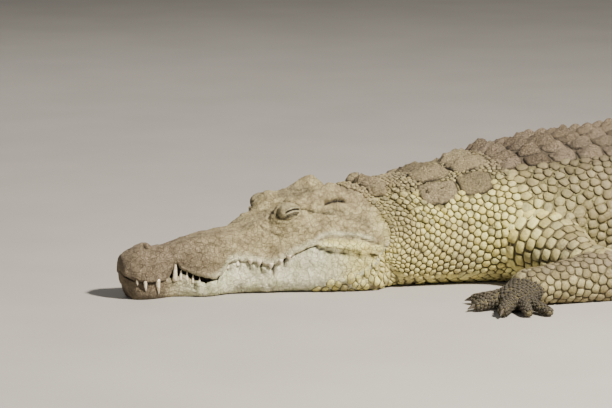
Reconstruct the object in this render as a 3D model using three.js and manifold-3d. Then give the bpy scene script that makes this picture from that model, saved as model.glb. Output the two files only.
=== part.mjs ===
// An adult Nile crocodile, life size, lying at rest on its belly with the chin on the floor, the mouth
// shut and the eyes closed. Millimetres, +Z up. The trunk lies along X with the head towards -X, so the
// animal's left side faces -Y. The origin is on the floor under the middle of the belly.
//
// A "station" is a distance back from the snout tip along the spine. A "side" is -1 for left, 1 for right.
import * as THREE from "three";
import { mergeVertices } from "three/addons/utils/BufferGeometryUtils.js";
import Module from "manifold-3d";

const wasm = await Module();
wasm.setup();

// ---------------------------------------------------------------- driving dimensions
const TOTAL_LENGTH = 4000;
const HEAD_LENGTH = 540; // snout tip to the back of the skull table
const HEAD_END = 600; // the jaws reach back past the skull table
const NECK_END = 884;
const TRUNK_PART = 1442; // where the trunk is divided in two
const TRUNK_END = 1938;
const TAIL_PARTS = [2600, 3220]; // where the tail is divided in three
const ORIGIN_STATION = 1400;
const GAP = 0.35; // between neighbouring solids
const SINK = 16; // how much of each round underside is flattened by the floor
const EDGE = 1; // the rim left standing where a lofted end closes

// The spine's bends, in degrees, each eased between two stations.
const HEAD_TURN = { turn: 4, from: 600, to: 860 };
const TAIL_TURNS = [
  { turn: -38, from: 1980, to: 2900 },
  { turn: 62, from: 2850, to: 3900 },
];

// Neck, trunk and tail: [station, half width, height of the back, height of the widest point].
const BODY_TABLE = [
  [560, 150, 222, 92],
  [640, 164, 234, 98],
  [720, 178, 242, 104],
  [800, 194, 256, 110],
  [900, 222, 280, 118],
  [1020, 262, 297, 126],
  [1180, 302, 311, 130],
  [1400, 322, 322, 132],
  [1600, 302, 320, 130],
  [1760, 260, 316, 128],
  [1900, 212, 298, 124],
  [2040, 172, 276, 118],
  [2300, 136, 242, 104],
  [2650, 104, 204, 88],
  [3000, 76, 170, 74],
  [3350, 50, 136, 60],
  [3700, 26, 98, 44],
  [3920, 11, 66, 28],
  [4000, 5, 48, 18],
];

// Dorsal armour. Each row of scutes rises to a keel near its back edge.
const SCUTE_ROWS = 17;
const SCUTE_COLUMN_WIDTH = 0.1; // half a scute, as a share of the body's half width
const TRUNK_KEEL = 15;
const KEEL_PLACE = 0.7; // how far along a scute its keel is highest
const WHORLS = 34; // rings of scales round the tail
const SINGLE_CREST_FROM = 3040; // the two crests of the tail join into one here
const CREST_TABLE = [
  [1900, 13],
  [2250, 20],
  [2700, 36],
  [3040, 48],
  [3400, 50],
  [3750, 38],
  [4000, 20],
];

// Skull: [station, half width, height of the top at the midline].
const SKULL_TABLE = [
  [2, 17, 90],
  [10, 32, 100],
  [28, 47, 111],
  [54, 54, 115],
  [88, 50, 113],
  [114, 43, 117],
  [148, 56, 126],
  [188, 75, 133],
  [230, 74, 139],
  [280, 79, 146],
  [324, 92, 160],
  [380, 110, 182],
  [430, 124, 198],
  [480, 138, 210],
  [530, 150, 211],
  [570, 153, 217],
  [600, 150, 220],
];
// The line where the jaws meet: [station, height]. It rises round the big tooth of the lower jaw, drops
// under the swell of the fifth upper tooth, rises again and then climbs to the corner of the mouth.
const MOUTH_TABLE = [
  [2, 66],
  [8, 54],
  [16, 48],
  [42, 42],
  [80, 42],
  [98, 47],
  [109, 58],
  [120, 80],
  [131, 64],
  [152, 56],
  [180, 46],
  [207, 43],
  [221, 56],
  [236, 75],
  [262, 78],
  [284, 77],
  [308, 71],
  [331, 67],
  [358, 80],
  [392, 97],
  [424, 108],
  [480, 104],
  [530, 92],
  [600, 76],
];
const MOUTH_CORNER = 424;
const JAW_START = 13; // the lower jaw ends behind the tip of the upper one
const JAW_INSET = 5; // how far the lower jaw lies inside the upper one
const SKULL_TABLE_HALF = 64; // half width of the flat roof of the skull
const BROW = { station: 380, out: 66, length: 50, width: 46, rise: 36 };
const TABLE_CORNER = { station: 484, out: 64, length: 50, width: 34, rise: 29 };
const ROOF_RIDGE = { station: 432, out: 64, length: 34, width: 36, rise: 18 }; // joins brow and table
const NOSE = { station: 58, out: 0, length: 22, width: 24, rise: 5 };
const EYE = { station: 376, out: 80, up: 183, length: 29, width: 19, height: 19 };

// Teeth that show: [station, length, half thickness]. The upper ones hang outside the lower jaw.
const UPPER_TEETH = [
  [26, 11, 3.6],
  [43, 21, 4.8],
  [73, 30, 5.6],
  [95, 9, 3.4],
  [283, 11, 4.2],
  [302, 11, 4.2],
  [327, 11, 4.2],
  [348, 10, 4],
  [366, 9, 3.8],
];
const LOWER_TEETH = [
  [117, 36, 5.8],
  [131, 14, 4],
  [143, 12, 3.8],
  [155, 9, 3.4],
  [168, 8, 3.4],
  [233, 13, 4.4],
  [256, 19, 5.2],
];

// Limbs of the left side, as [tailward of the joint's station, out from the spine, up].
const SHOULDER_STATION = 905;
const HIP_STATION = 1850;
const FORE_LIMB = {
  root: [24, 176, 108],
  elbow: [122, 405, 48],
  wrist: [-72, 428, 42],
  upperThick: [64, 52],
  lowerThick: [52, 40],
};
const HIND_LIMB = {
  root: [-10, 140, 170],
  knee: [-190, 372, 122],
  ankle: [4, 470, 46],
  upperThick: [104, 74],
  lowerThick: [68, 42],
};
// Digits: [spread in degrees from the foot's own line, length, half thickness, clawed].
const FINGERS = [
  [85, 72, 15, true],
  [29, 78, 16, true],
  [-17, 96, 17, true],
  [-43, 85, 14, false],
  [-70, 80, 12.5, false],
];
const TOES = [
  [24, 146, 17, true],
  [6, 176, 17, true],
  [-12, 182, 16, true],
  [-32, 160, 13, false],
];
const HAND = { turn: 145, palm: 60, palmHalf: 46, palmUp: 30 };
const FOOT = { turn: 150, palm: 112, palmHalf: 44, palmUp: 26 };
const WEB = { reach: 74, half: 58, up: 7, flat: 0.12 };
const CLAW = { length: 34, thick: 6.5, drop: 0.55 };

// ---------------------------------------------------------------- materials
const finish = (color, roughness) => new THREE.MeshStandardMaterial({ color, roughness, metalness: 0 });
const hide = finish(0x9c8e66, 0.8);
const armour = finish(0x7d6a50, 0.85);
const jawSkin = finish(0xb3a884, 0.75);
const limbSkin = finish(0x857a58, 0.8);
const lid = finish(0x8a7753, 0.6);
const horn = finish(0x4a4338, 0.45);

// ---------------------------------------------------------------- helpers
const DEGREE = Math.PI / 180;

/** 0 before from, 1 after to, and a smooth rise between. */
function ease(value, from, to) {
  const t = Math.min(1, Math.max(0, (value - from) / (to - from)));
  return t * t * (3 - 2 * t);
}

/** A bump of height 1 at 0 that dies away at -1 and 1. */
function bump(t) {
  return Math.abs(t) >= 1 ? 0 : (1 - t * t) ** 2;
}

/** A smooth curve through column `which` of a table whose first column is the station. */
function curveOf(table, which) {
  const slope = (i) => {
    const a = table[Math.max(0, i - 1)];
    const b = table[Math.min(table.length - 1, i + 1)];
    return (b[which] - a[which]) / (b[0] - a[0]);
  };
  return (station) => {
    const last = table.length - 2;
    const i = Math.min(last, Math.max(0, table.findIndex((row) => row[0] > station) - 1));
    const k = station >= table[last + 1][0] ? last : i;
    const [a, b] = [table[k], table[k + 1]];
    const span = b[0] - a[0];
    const t = Math.min(1, Math.max(0, (station - a[0]) / span));
    const t2 = t * t;
    const t3 = t2 * t;
    return (
      (2 * t3 - 3 * t2 + 1) * a[which] +
      (t3 - 2 * t2 + t) * span * slope(k) +
      (3 * t2 - 2 * t3) * b[which] +
      (t3 - t2) * span * slope(k + 1)
    );
  };
}

/** The spine's direction towards the tail at a station, in radians from +X. */
function headingAt(station) {
  let turn = HEAD_TURN.turn * (1 - ease(station, HEAD_TURN.from, HEAD_TURN.to));
  for (const bend of TAIL_TURNS) turn += bend.turn * ease(station, bend.from, bend.to);
  return turn * DEGREE;
}

/** The spine as a list of points a step apart, walked outwards from the origin's station. */
function walkSpine(step) {
  const points = new Map([[ORIGIN_STATION, [0, 0]]]);
  for (const way of [-1, 1]) {
    let [x, y] = [0, 0];
    const end = way < 0 ? -200 : TOTAL_LENGTH + 200;
    for (let s = ORIGIN_STATION; way * (end - s) > 0; s += way * step) {
      const heading = headingAt(s + (way * step) / 2);
      x += way * step * Math.cos(heading);
      y += way * step * Math.sin(heading);
      points.set(s + way * step, [x, y]);
    }
  }
  return points;
}

const SPINE_STEP = 10;
const spine = walkSpine(SPINE_STEP);

/** The point at a station, `out` to the right of the spine (negative is left) and `up` from the floor. */
function place(station, out, up) {
  const low = Math.floor(station / SPINE_STEP) * SPINE_STEP;
  const share = (station - low) / SPINE_STEP;
  const [a, b] = [spine.get(low), spine.get(low + SPINE_STEP)];
  const heading = headingAt(station);
  return new THREE.Vector3(
    a[0] + (b[0] - a[0]) * share - out * Math.sin(heading),
    a[1] + (b[1] - a[1]) * share + out * Math.cos(heading),
    up,
  );
}

/** A closed skin through rings of points: a cylinder whose rows are moved onto the rings. */
function loft(rings) {
  const along = rings.length - 1;
  const around = rings[0].length;
  const geometry = new THREE.CylinderGeometry(1, 1, 1, around, along);
  geometry.deleteAttribute("normal");
  geometry.deleteAttribute("uv");
  const centres = rings.map((ring) =>
    ring.reduce((sum, p) => sum.add(p), new THREE.Vector3()).divideScalar(around),
  );
  const at = geometry.attributes.position;
  for (let i = 0; i < at.count; i++) {
    const row = Math.round((0.5 - at.getY(i)) * along);
    const turn = Math.atan2(at.getX(i), at.getZ(i)) / (2 * Math.PI);
    const column = (Math.round(turn * around) + around) % around;
    const onAxis = Math.hypot(at.getX(i), at.getZ(i)) < 0.5;
    const p = onAxis ? centres[row] : rings[row][column];
    at.setXYZ(i, p.x, p.y, p.z);
  }
  return solidOf(geometry);
}

/** A manifold solid of a closed geometry, turned outwards if its faces point in. */
function solidOf(geometry) {
  const merged = mergeVertices(geometry, 1e-3);
  const vertProperties = new Float32Array(merged.attributes.position.array);
  const triVerts = new Uint32Array(merged.index.array);
  const solid = new wasm.Manifold(new wasm.Mesh({ numProp: 3, vertProperties, triVerts }));
  if (solid.volume() > 0) return solid;
  const turned = triVerts.map((_, i) => triVerts[i - (i % 3) + [0, 2, 1][i % 3]]);
  return new wasm.Manifold(new wasm.Mesh({ numProp: 3, vertProperties, triVerts: turned }));
}

/** The largest body of a solid, so that no sliver from a cut is left. */
function mainBody(solid) {
  return solid.decompose().sort((a, b) => b.volume() - a.volume())[0];
}

/** All of these solids as one. */
function joined(solids) {
  return solids.reduce((sum, solid) => sum.add(solid));
}

/** A named mesh of a solid. */
function meshOf(name, solid, material) {
  const { vertProperties, triVerts, numProp } = mainBody(solid).getMesh();
  const geometry = new THREE.BufferGeometry();
  const points = new Float32Array((vertProperties.length / numProp) * 3);
  for (let i = 0; i < points.length / 3; i++)
    for (let k = 0; k < 3; k++) points[3 * i + k] = vertProperties[numProp * i + k];
  geometry.setAttribute("position", new THREE.BufferAttribute(points, 3));
  geometry.setIndex(Array.from(triVerts));
  geometry.computeVertexNormals();
  const mesh = new THREE.Mesh(geometry, material);
  mesh.name = name;
  return mesh;
}

// ---------------------------------------------------------------- neck, trunk and tail
const bodyHalf = curveOf(BODY_TABLE, 1);
const bodyTop = curveOf(BODY_TABLE, 2);
const bodyWaist = curveOf(BODY_TABLE, 3);
const crestHeight = curveOf(CREST_TABLE, 1);

/** How square the body's upper half is: a broad back on the trunk, a ridge on the tail. */
function bodySquareness(station) {
  return 2.25 - 0.6 * ease(station, 1850, 2900);
}

/**
 * One point of the body's outline.
 * share is the distance from the midline over the half width, and upper tells the back from the belly.
 */
function bodyPoint(station, side, share, upper, lift, grow) {
  const half = bodyHalf(station) + grow;
  const waist = bodyWaist(station);
  const power = upper ? bodySquareness(station) : 2.6;
  const arch = (1 - share ** power) ** (1 / power);
  const reach = upper ? bodyTop(station) + grow - waist : waist + SINK;
  const up = upper ? waist + reach * arch + lift : waist - reach * arch;
  return place(station, side * half * share, Math.max(0, up));
}

/** What the rings of each region have: the shares of the half width of their points, and their keels. */
const scuteShares = [0, 1, 2, 3, 4, 5, 6].map((k) => k * SCUTE_COLUMN_WIDTH);
const REGIONS = {
  neck: {
    upper: [0, 0.22, 0.46, 0.7, 0.93],
    lower: [1, 0.88, 0.58],
    keel: () => 0,
  },
  trunk: {
    upper: [...scuteShares, 0.86],
    lower: [1, 0.88, 0.58],
    keel: (station, k) => (k % 2 ? TRUNK_KEEL : 0),
  },
  tail: {
    upper: [0, 0.2, 0.5, 0.88],
    lower: [1, 0.56],
    keel: (station, k) => (k === (station > SINGLE_CREST_FROM ? 0 : 1) ? crestHeight(station) : 0),
  },
};

/** A ring of the body, with its keels or crests raised if peak is set. */
function bodyRing(station, peak, region, grow) {
  const { upper: shares, lower, keel } = REGIONS[region];
  const lift = (k) => (peak ? keel(station, k) : 0);
  const half = (side) => [
    ...shares.map((share, k) => bodyPoint(station, side, share, true, lift(k), grow)),
    ...lower.map((share) => bodyPoint(station, side, share, false, 0, grow)),
  ];
  const right = half(1);
  const left = half(-1).slice(1).reverse();
  return [...right, bodyPoint(station, 1, 0, false, 0, grow), ...left];
}

/** A length of the body between two stations, with `rows` rows of scutes along it. */
function bodyLength(from, to, rows, region, grow = 0) {
  const [start, end] = [from + GAP / 2 - grow, to - GAP / 2 + grow];
  const row = (end - start) / rows;
  const rings = [bodyRing(start, false, region, grow)];
  for (let i = 0; i < rows; i++) {
    rings.push(bodyRing(start + (i + KEEL_PLACE) * row, true, region, grow));
    rings.push(bodyRing(start + (i + 1) * row, false, region, grow));
  }
  return loft(rings);
}

/** The large raised shields of the nape: four in a square with one on each side. */
function nuchalShields() {
  const shields = [];
  const shield = (station, out, length, width, rise) => {
    const side = Math.sign(out);
    const share = Math.abs(out) / bodyHalf(station);
    const onBack = bodyPoint(station, side, share, true, 0, 0);
    const cone = new THREE.CylinderGeometry(0.55, 1, 1, 6, 1);
    cone.rotateX(Math.PI / 2);
    cone.scale(length / 2, width / 2, rise * 2);
    cone.rotateX(-side * share * 0.75);
    cone.rotateZ(headingAt(station));
    cone.translate(onBack.x, onBack.y, onBack.z - rise * 0.2);
    cone.deleteAttribute("normal");
    cone.deleteAttribute("uv");
    shields.push(solidOf(cone));
  };
  for (const side of [-1, 1]) {
    shield(726, side * 38, 84, 72, 14);
    shield(806, side * 40, 88, 76, 15);
    shield(770, side * 112, 76, 64, 12);
  }
  return shields;
}

// ---------------------------------------------------------------- head
const skullHalf = curveOf(SKULL_TABLE, 1);
const skullTop = curveOf(SKULL_TABLE, 2);
const mouthHeight = curveOf(MOUTH_TABLE, 1);

/** The rise of one round swelling of the head at a point of its upper surface. */
function swelling(form, station, out) {
  return form.rise * bump((station - form.station) / form.length) * bump((Math.abs(out) - form.out) / form.width);
}

/** The height of the head's upper surface. */
function skullUp(station, out) {
  const half = skullHalf(station);
  const share = Math.min(1, Math.abs(out) / half);
  const mouth = mouthHeight(station);
  const top = skullTop(station);
  const boxed = ease(station, 330, 470);
  const arch = (1 - share ** 2.3) ** (1 / 2.1);
  const side = ease(Math.abs(out), SKULL_TABLE_HALF, half);
  const roofed = 1 - 0.62 * side - 0.38 * side ** 8;
  const blend = arch * (1 - boxed) + roofed * boxed;
  const swellings = [BROW, TABLE_CORNER, ROOF_RIDGE, NOSE].map((form) => swelling(form, station, out));
  return swellings.reduce((sum, rise) => sum + rise, mouth + (top - mouth) * blend);
}

const SKULL_SHARES = [0, 0.22, 0.42, 0.6, 0.8, 0.96];
const JAW_SHARES = [1, 0.9, 0.6];

/** One ring of the upper head: the roof from side to side, then the palate. */
function skullRing(station) {
  const half = skullHalf(station);
  const low = mouthHeight(station) + GAP / 2;
  const roof = (side) => SKULL_SHARES.map((share) => {
    const up = Math.max(skullUp(station, share * half), low + EDGE);
    return place(station, side * share * half, up);
  });
  const rim = (side) => place(station, side * half, low + EDGE * 4);
  const palate = (side) => place(station, side * half * 0.86, low);
  return [
    ...roof(1), rim(1), palate(1), place(station, 0, low),
    palate(-1), rim(-1), ...roof(-1).slice(1).reverse(),
  ];
}

const BIG_TOOTH = 119; // where the upper jaw's notch takes the fourth lower tooth

/** How far the lower jaw stays under the mouth line, which gapes at the big tooth and behind it. */
function gape(station) {
  return GAP / 2 + 15 * bump((station - 160) / 58) + 26 * bump((station - BIG_TOOTH) / 18);
}

/** One ring of the lower jaw: its flat upper edge, then its round underside on the floor. */
function jawRing(station) {
  const inset = JAW_INSET + 10 * (1 - ease(station, 0, 60));
  const half = skullHalf(station) - inset * (1 - ease(station, MOUTH_CORNER - 60, MOUTH_CORNER));
  const top = mouthHeight(station) - gape(station);
  const widest = top * 0.55;
  const power = 2.4 + 1.6 * ease(station, 300, 560);
  const under = (side) => JAW_SHARES.map((share) => {
    const arch = (1 - (share * 0.999) ** power) ** (1 / power);
    return place(station, side * half * share, Math.max(0, widest - (widest + 8) * arch));
  });
  return [
    place(station, 0, top), place(station, half * 0.9, top), ...under(1), place(station, 0, 0),
    ...under(-1).reverse(), place(station, -half * 0.9, top),
  ];
}

/** The stations of the head's rings: wherever the mouth line turns, and more at the nose, brow and nape. */
function headStations() {
  const turns = MOUTH_TABLE.map(([station]) => station).filter((station) => station < HEAD_END);
  return [...turns, 34, 72, 375, 452, 505, HEAD_END - GAP / 2].sort((a, b) => a - b);
}

/** A tooth: a four-sided point from root to tip, sunk a little in its jaw. */
function tooth(station, out, root, tip, thick) {
  const cone = new THREE.ConeGeometry(thick, Math.abs(tip - root), 4, 1);
  cone.rotateX(tip > root ? Math.PI / 2 : -Math.PI / 2);
  const at = place(station, out, (root + tip) / 2);
  cone.translate(at.x, at.y, at.z);
  cone.deleteAttribute("normal");
  cone.deleteAttribute("uv");
  return solidOf(cone);
}

const TOOTH_ROOT = 12;

/** The teeth of the upper jaw, grown by `grow` all round. */
function upperTeeth(grow) {
  return UPPER_TEETH.flatMap(([station, length, thick]) =>
    [-1, 1].map((side) => {
      const out = side * (skullHalf(station) - thick - 1);
      const gum = mouthHeight(station);
      return tooth(station, out, gum + TOOTH_ROOT + grow, gum - length - grow * 3, thick + grow);
    }),
  );
}

/** The teeth of the lower jaw, grown by `grow` all round. */
function lowerTeeth(grow) {
  return LOWER_TEETH.flatMap(([station, length, thick]) =>
    [-1, 1].map((side) => {
      const out = side * (skullHalf(station) - JAW_INSET - thick * 0.6);
      const gum = mouthHeight(station) - gape(station);
      return tooth(station, out, gum - TOOTH_ROOT - grow, gum + length + grow * 3, thick + grow);
    }),
  );
}

/** The closed eye of one side, an egg under its lids, grown by `grow` all round. */
function eye(side, grow) {
  const egg = new THREE.SphereGeometry(1, 9, 6);
  egg.scale(EYE.length + grow, EYE.width + grow, EYE.height + grow);
  egg.rotateX(side * 0.35);
  egg.rotateZ(headingAt(EYE.station) - side * 0.2);
  const at = place(EYE.station, side * EYE.out, EYE.up);
  egg.translate(at.x, at.y, at.z);
  egg.deleteAttribute("normal");
  egg.deleteAttribute("uv");
  return solidOf(egg);
}

// ---------------------------------------------------------------- limbs

/**
 * A tube through joints, each [point, half thickness], with round ends, that never goes below the floor.
 * flat squashes it from above, and muscle swells each length near its upper end.
 */
function tube(joints, { grow = 0, flat = 1, around = 10, rows = 3, muscle = 0, ends = [0.55, 0.95] } = {}) {
  const rings = [];
  const ring = (centre, axis, thick) => {
    const across = new THREE.Vector3(-axis.y, axis.x, 0).normalize();
    const over = new THREE.Vector3().crossVectors(axis, across);
    rings.push(
      Array.from({ length: around }, (_, k) => {
        const turn = (2 * Math.PI * k) / around;
        const p = centre.clone().addScaledVector(across, (thick + grow) * Math.cos(turn));
        p.addScaledVector(over, (thick * flat + grow) * Math.sin(turn));
        p.z = Math.max(0, p.z);
        return p;
      }),
    );
  };
  const axes = joints.slice(1).map(([p], i) => p.clone().sub(joints[i][0]).normalize());
  const [first, last] = [joints[0], joints[joints.length - 1]];
  const cap = (joint, axis, t) => {
    ring(joint[0].clone().addScaledVector(axis, t * (joint[1] + grow)), axis, joint[1] * Math.sqrt(1 - t * t));
  };
  for (const t of ends.toReversed()) cap(first, axes[0], -t);
  axes.forEach((axis, i) => {
    const [[a, thickA], [b, thickB]] = [joints[i], joints[i + 1]];
    for (let k = i ? 1 : 0; k <= rows; k++) {
      const t = k / rows;
      const bent = k === rows && i < axes.length - 1 ? axis.clone().add(axes[i + 1]).normalize() : axis;
      const swell = 1 + muscle * bump((t - 0.32) / 0.5);
      ring(a.clone().lerp(b, t), bent, (thickA + (thickB - thickA) * t) * swell);
    }
  });
  for (const t of ends) cap(last, axes[axes.length - 1], t);
  return loft(rings);
}

/** A joint of a limb as a point, from its place relative to the limb's station. */
function jointAt(base, [tailward, out, up], side) {
  return place(base + tailward, side * out, up);
}

/** One digit: a thin round-ended tube along the floor, with a knuckle that stands above it. */
function digit(from, direction, length, thick, grow) {
  const knuckle = from.clone().addScaledVector(direction, length * 0.45);
  const tip = from.clone().addScaledVector(direction, length);
  const end = from.clone().addScaledVector(direction, length + thick * 0.7);
  knuckle.z = thick * 1.35;
  tip.z = thick * 0.8;
  end.z = thick * 0.5;
  const joints = [[from, thick * 1.2], [knuckle, thick], [tip, thick * 0.85], [end, thick * 0.3]];
  return tube(joints, { grow, around: 6, rows: 1, ends: [] });
}

/** Where each digit of a hand or foot starts and which way it points. */
function digitLines(root, form, digits, side, station) {
  const line = headingAt(station) + side * form.turn * DEGREE;
  return digits.map(([spread, length, thick, clawed], k) => {
    const turn = line + side * spread * DEGREE;
    const direction = new THREE.Vector3(Math.cos(turn), Math.sin(turn), 0);
    const across = (k / (digits.length - 1) - 0.5) * -2;
    const start = root.clone();
    start.x += form.palm * Math.cos(line) - across * side * form.palmHalf * 0.62 * Math.sin(line);
    start.y += form.palm * Math.sin(line) + across * side * form.palmHalf * 0.62 * Math.cos(line);
    start.z = form.palmUp * 0.8;
    return { start, direction, length, thick, clawed };
  });
}

/** A hand or foot: its palm, its digits and, on a foot, the web between the toes. */
function paw(root, form, digits, side, station, webbed, grow) {
  const line = headingAt(station) + side * form.turn * DEGREE;
  const palmEnd = new THREE.Vector3(
    root.x + form.palm * Math.cos(line), root.y + form.palm * Math.sin(line), form.palmUp * 0.9,
  );
  const lines = digitLines(root, form, digits, side, station);
  const shape = { grow, flat: 0.62, around: 8, rows: 1, ends: [0.75] };
  const solids = [tube([[root, form.palmHalf * 0.84], [palmEnd, form.palmHalf]], shape)];
  for (const d of lines) solids.push(digit(d.start, d.direction, d.length, d.thick, grow));
  if (webbed) {
    const webEnd = palmEnd.clone().addScaledVector(palmEnd.clone().sub(root).setZ(0).normalize(), WEB.reach);
    const joints = [[palmEnd.clone().setZ(WEB.up), form.palmHalf], [webEnd.setZ(WEB.up), WEB.half]];
    solids.push(tube(joints, { grow, flat: WEB.flat, around: 8, rows: 1, ends: [0.75] }));
  }
  return joined(solids);
}

/** A claw: a curved horn cone that leaves the tip of its digit and bends down to the floor. */
function claw({ start, direction, length, thick }) {
  const root = start.clone().addScaledVector(direction, length + thick * 0.2);
  root.z = thick * 0.8;
  const rings = [];
  for (const t of [0, 0.4, 0.75, 1]) {
    const centre = root.clone().addScaledVector(direction, t * CLAW.length);
    centre.z = root.z + 2 - CLAW.drop * root.z * t * t;
    const radius = CLAW.thick * (1 - 0.86 * t);
    const across = new THREE.Vector3(-direction.y, direction.x, 0);
    rings.push(
      Array.from({ length: 4 }, (_, k) => {
        const turn = (Math.PI * k) / 2;
        const p = centre.clone().addScaledVector(across, radius * Math.cos(turn));
        p.z = Math.max(0, p.z + radius * 1.15 * Math.sin(turn));
        return p;
      }),
    );
  }
  return loft(rings);
}

/** One length of a limb, from joint to joint. */
function bone(from, to, [thickFrom, thickTo], grow) {
  return tube([[from, thickFrom], [to, thickTo]], { grow, rows: 2, around: 9, muscle: 0.1 });
}

/** All the nodes of one limb. Each length is cut to the one above it. */
function limb(group, word, side, base, joints, shapes, body) {
  const hand = side < 0 ? "left" : "right";
  const [root, middle, end] = joints.map((joint) => jointAt(base, joint, side));
  const make = (grow) => ({
    upper: bone(root, middle, shapes.upperThick, grow),
    lower: bone(middle, end, shapes.lowerThick, grow),
    paw: paw(end, shapes.form, shapes.digits, side, base, shapes.webbed, grow),
  });
  const [true_, cutter] = [make(0), make(GAP)];
  const upper = true_.upper.subtract(body);
  const lower = true_.lower.subtract(body).subtract(cutter.upper);
  const pawSolid = true_.paw.subtract(body).subtract(cutter.upper).subtract(cutter.lower);
  group.add(meshOf(`${word.upper}_${hand}`, upper, limbSkin));
  group.add(meshOf(`${word.lower}_${hand}`, lower, limbSkin));
  group.add(meshOf(`${word.paw}_${hand}`, pawSolid, limbSkin));
  digitLines(end, shapes.form, shapes.digits, side, base).forEach((line, k) => {
    if (!line.clawed) return;
    const horned = claw(line).subtract(cutter.paw);
    group.add(meshOf(`${word.claw}_${hand}_${k + 1}`, horned, horn));
  });
}

// ---------------------------------------------------------------- the animal
const crocodile = new THREE.Group();

/** The skull with its teeth, the lower jaw with its own, and the closed eyes. */
function addHead(group) {
  const stations = headStations();
  const skull = loft(stations.map(skullRing));
  const jaw = loft(stations.filter((station) => station > JAW_START).map(jawRing));
  const [upper, lower] = [joined(upperTeeth(0)), joined(lowerTeeth(0))];
  const [upperCut, lowerCut] = [joined(upperTeeth(GAP)), joined(lowerTeeth(GAP))];
  const eyes = [-1, 1].map((side) => eye(side, 0));
  const sockets = joined([-1, 1].map((side) => eye(side, GAP)));
  const jawBody = mainBody(jaw.subtract(upperCut)).add(lower.subtract(upperCut));
  const skullBody = mainBody(skull.subtract(lowerCut).subtract(sockets)).add(upper.subtract(lowerCut));
  group.add(meshOf("head", skullBody, hide));
  group.add(meshOf("lower_jaw", jawBody, jawSkin));
  group.add(meshOf("eye_left", eyes[0], lid));
  group.add(meshOf("eye_right", eyes[1], lid));
}

/** The neck, the two lengths of trunk and the tail's first length, grown by `grow` all round. */
function bodyParts(grow) {
  const rowLength = (TRUNK_END - NECK_END) / SCUTE_ROWS;
  const frontRows = Math.round((TRUNK_PART - NECK_END) / rowLength);
  return [
    bodyLength(HEAD_END, NECK_END, 3, "neck", grow),
    bodyLength(NECK_END, TRUNK_PART, frontRows, "trunk", grow),
    bodyLength(TRUNK_PART, TRUNK_END, SCUTE_ROWS - frontRows, "trunk", grow),
    tailLength(0, grow),
  ];
}

const TAIL_ENDS = [TRUNK_END, ...TAIL_PARTS, TOTAL_LENGTH];

/** One length of the tail, with its share of the whorls. */
function tailLength(k, grow) {
  const [from, to] = [TAIL_ENDS[k], TAIL_ENDS[k + 1]];
  const share = (to - from) / (TOTAL_LENGTH - TRUNK_END);
  return bodyLength(from, to, Math.round(WHORLS * share), "tail", grow);
}

/** Neck, trunk and tail, parted by thin cuts. */
function addBody(group) {
  const [neck, front, rear, tail] = bodyParts(0);
  group.add(meshOf("neck", neck.add(joined(nuchalShields())), hide));
  group.add(meshOf("trunk_front", front, armour));
  group.add(meshOf("trunk_rear", rear, armour));
  group.add(meshOf("tail_1", tail, armour));
  group.add(meshOf("tail_2", tailLength(1, 0), armour));
  group.add(meshOf("tail_3", tailLength(2, 0), armour));
}

/** The four legs, cut to the body they grow from. */
function addLimbs(group) {
  const body = joined(bodyParts(GAP));
  const fore = { upper: "upper_arm", lower: "forearm", paw: "hand", claw: "finger_claw" };
  const hind = { upper: "thigh", lower: "shank", paw: "foot", claw: "toe_claw" };
  for (const side of [-1, 1]) {
    limb(
      group, fore, side, SHOULDER_STATION, [FORE_LIMB.root, FORE_LIMB.elbow, FORE_LIMB.wrist],
      { ...FORE_LIMB, form: HAND, digits: FINGERS, webbed: false }, body,
    );
    limb(
      group, hind, side, HIP_STATION, [HIND_LIMB.root, HIND_LIMB.knee, HIND_LIMB.ankle],
      { ...HIND_LIMB, form: FOOT, digits: TOES, webbed: true }, body,
    );
  }
}

addHead(crocodile);
addBody(crocodile);
addLimbs(crocodile);

export default crocodile;
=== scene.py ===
"""A life-size Nile crocodile at rest on its belly: its skin, scales, teeth, claws and closed eyes."""

import logging
import math
from collections.abc import Callable
from dataclasses import dataclass
from enum import Enum
from functools import reduce

import bmesh
import bpy
import numpy as np
from mathutils import Matrix, Vector, noise

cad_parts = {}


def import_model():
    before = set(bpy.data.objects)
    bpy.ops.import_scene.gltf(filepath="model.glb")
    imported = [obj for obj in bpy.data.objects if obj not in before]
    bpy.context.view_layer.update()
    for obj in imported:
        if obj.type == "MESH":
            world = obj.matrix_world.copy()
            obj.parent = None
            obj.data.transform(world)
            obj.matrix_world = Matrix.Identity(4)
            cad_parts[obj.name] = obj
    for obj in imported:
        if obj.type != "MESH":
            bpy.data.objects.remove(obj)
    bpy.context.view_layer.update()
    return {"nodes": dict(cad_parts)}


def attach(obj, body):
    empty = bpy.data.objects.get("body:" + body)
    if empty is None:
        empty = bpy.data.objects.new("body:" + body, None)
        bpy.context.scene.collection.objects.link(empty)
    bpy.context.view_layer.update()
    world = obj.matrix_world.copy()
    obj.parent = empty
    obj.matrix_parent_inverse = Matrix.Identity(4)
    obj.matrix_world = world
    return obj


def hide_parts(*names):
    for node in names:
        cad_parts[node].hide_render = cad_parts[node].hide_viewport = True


logging.basicConfig(level=logging.INFO, format="%(message)s")
LOG = logging.getLogger("crocodile")

Array = np.ndarray
Reading = np.ndarray | float
Row = tuple[float, ...]
Span = tuple[float, float]
Colour = tuple[float, float, float]
Solid, Layer = bmesh.types.BMesh, bmesh.types.BMLayerItem
Piece, Mesh, Material = bpy.types.Object, bpy.types.Mesh, bpy.types.Material
Tree, Node, Socket = bpy.types.NodeTree, bpy.types.Node, bpy.types.NodeSocket
Value = Socket | Row | float

# Stations are metres back from the snout tip along the spine.
ORIGIN_STATION = 1.4
TOTAL_LENGTH = 4.0
HEAD_END = 0.6
NECK_END = 0.884
TRUNK_END = 1.938
SKIN_DEPTH = 0.0032  # how far the skin lies under the tops of the scales
SCUTE_ROWS = 17
WHORLS = 34
SINGLE_CREST_FROM = 3.04


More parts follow.
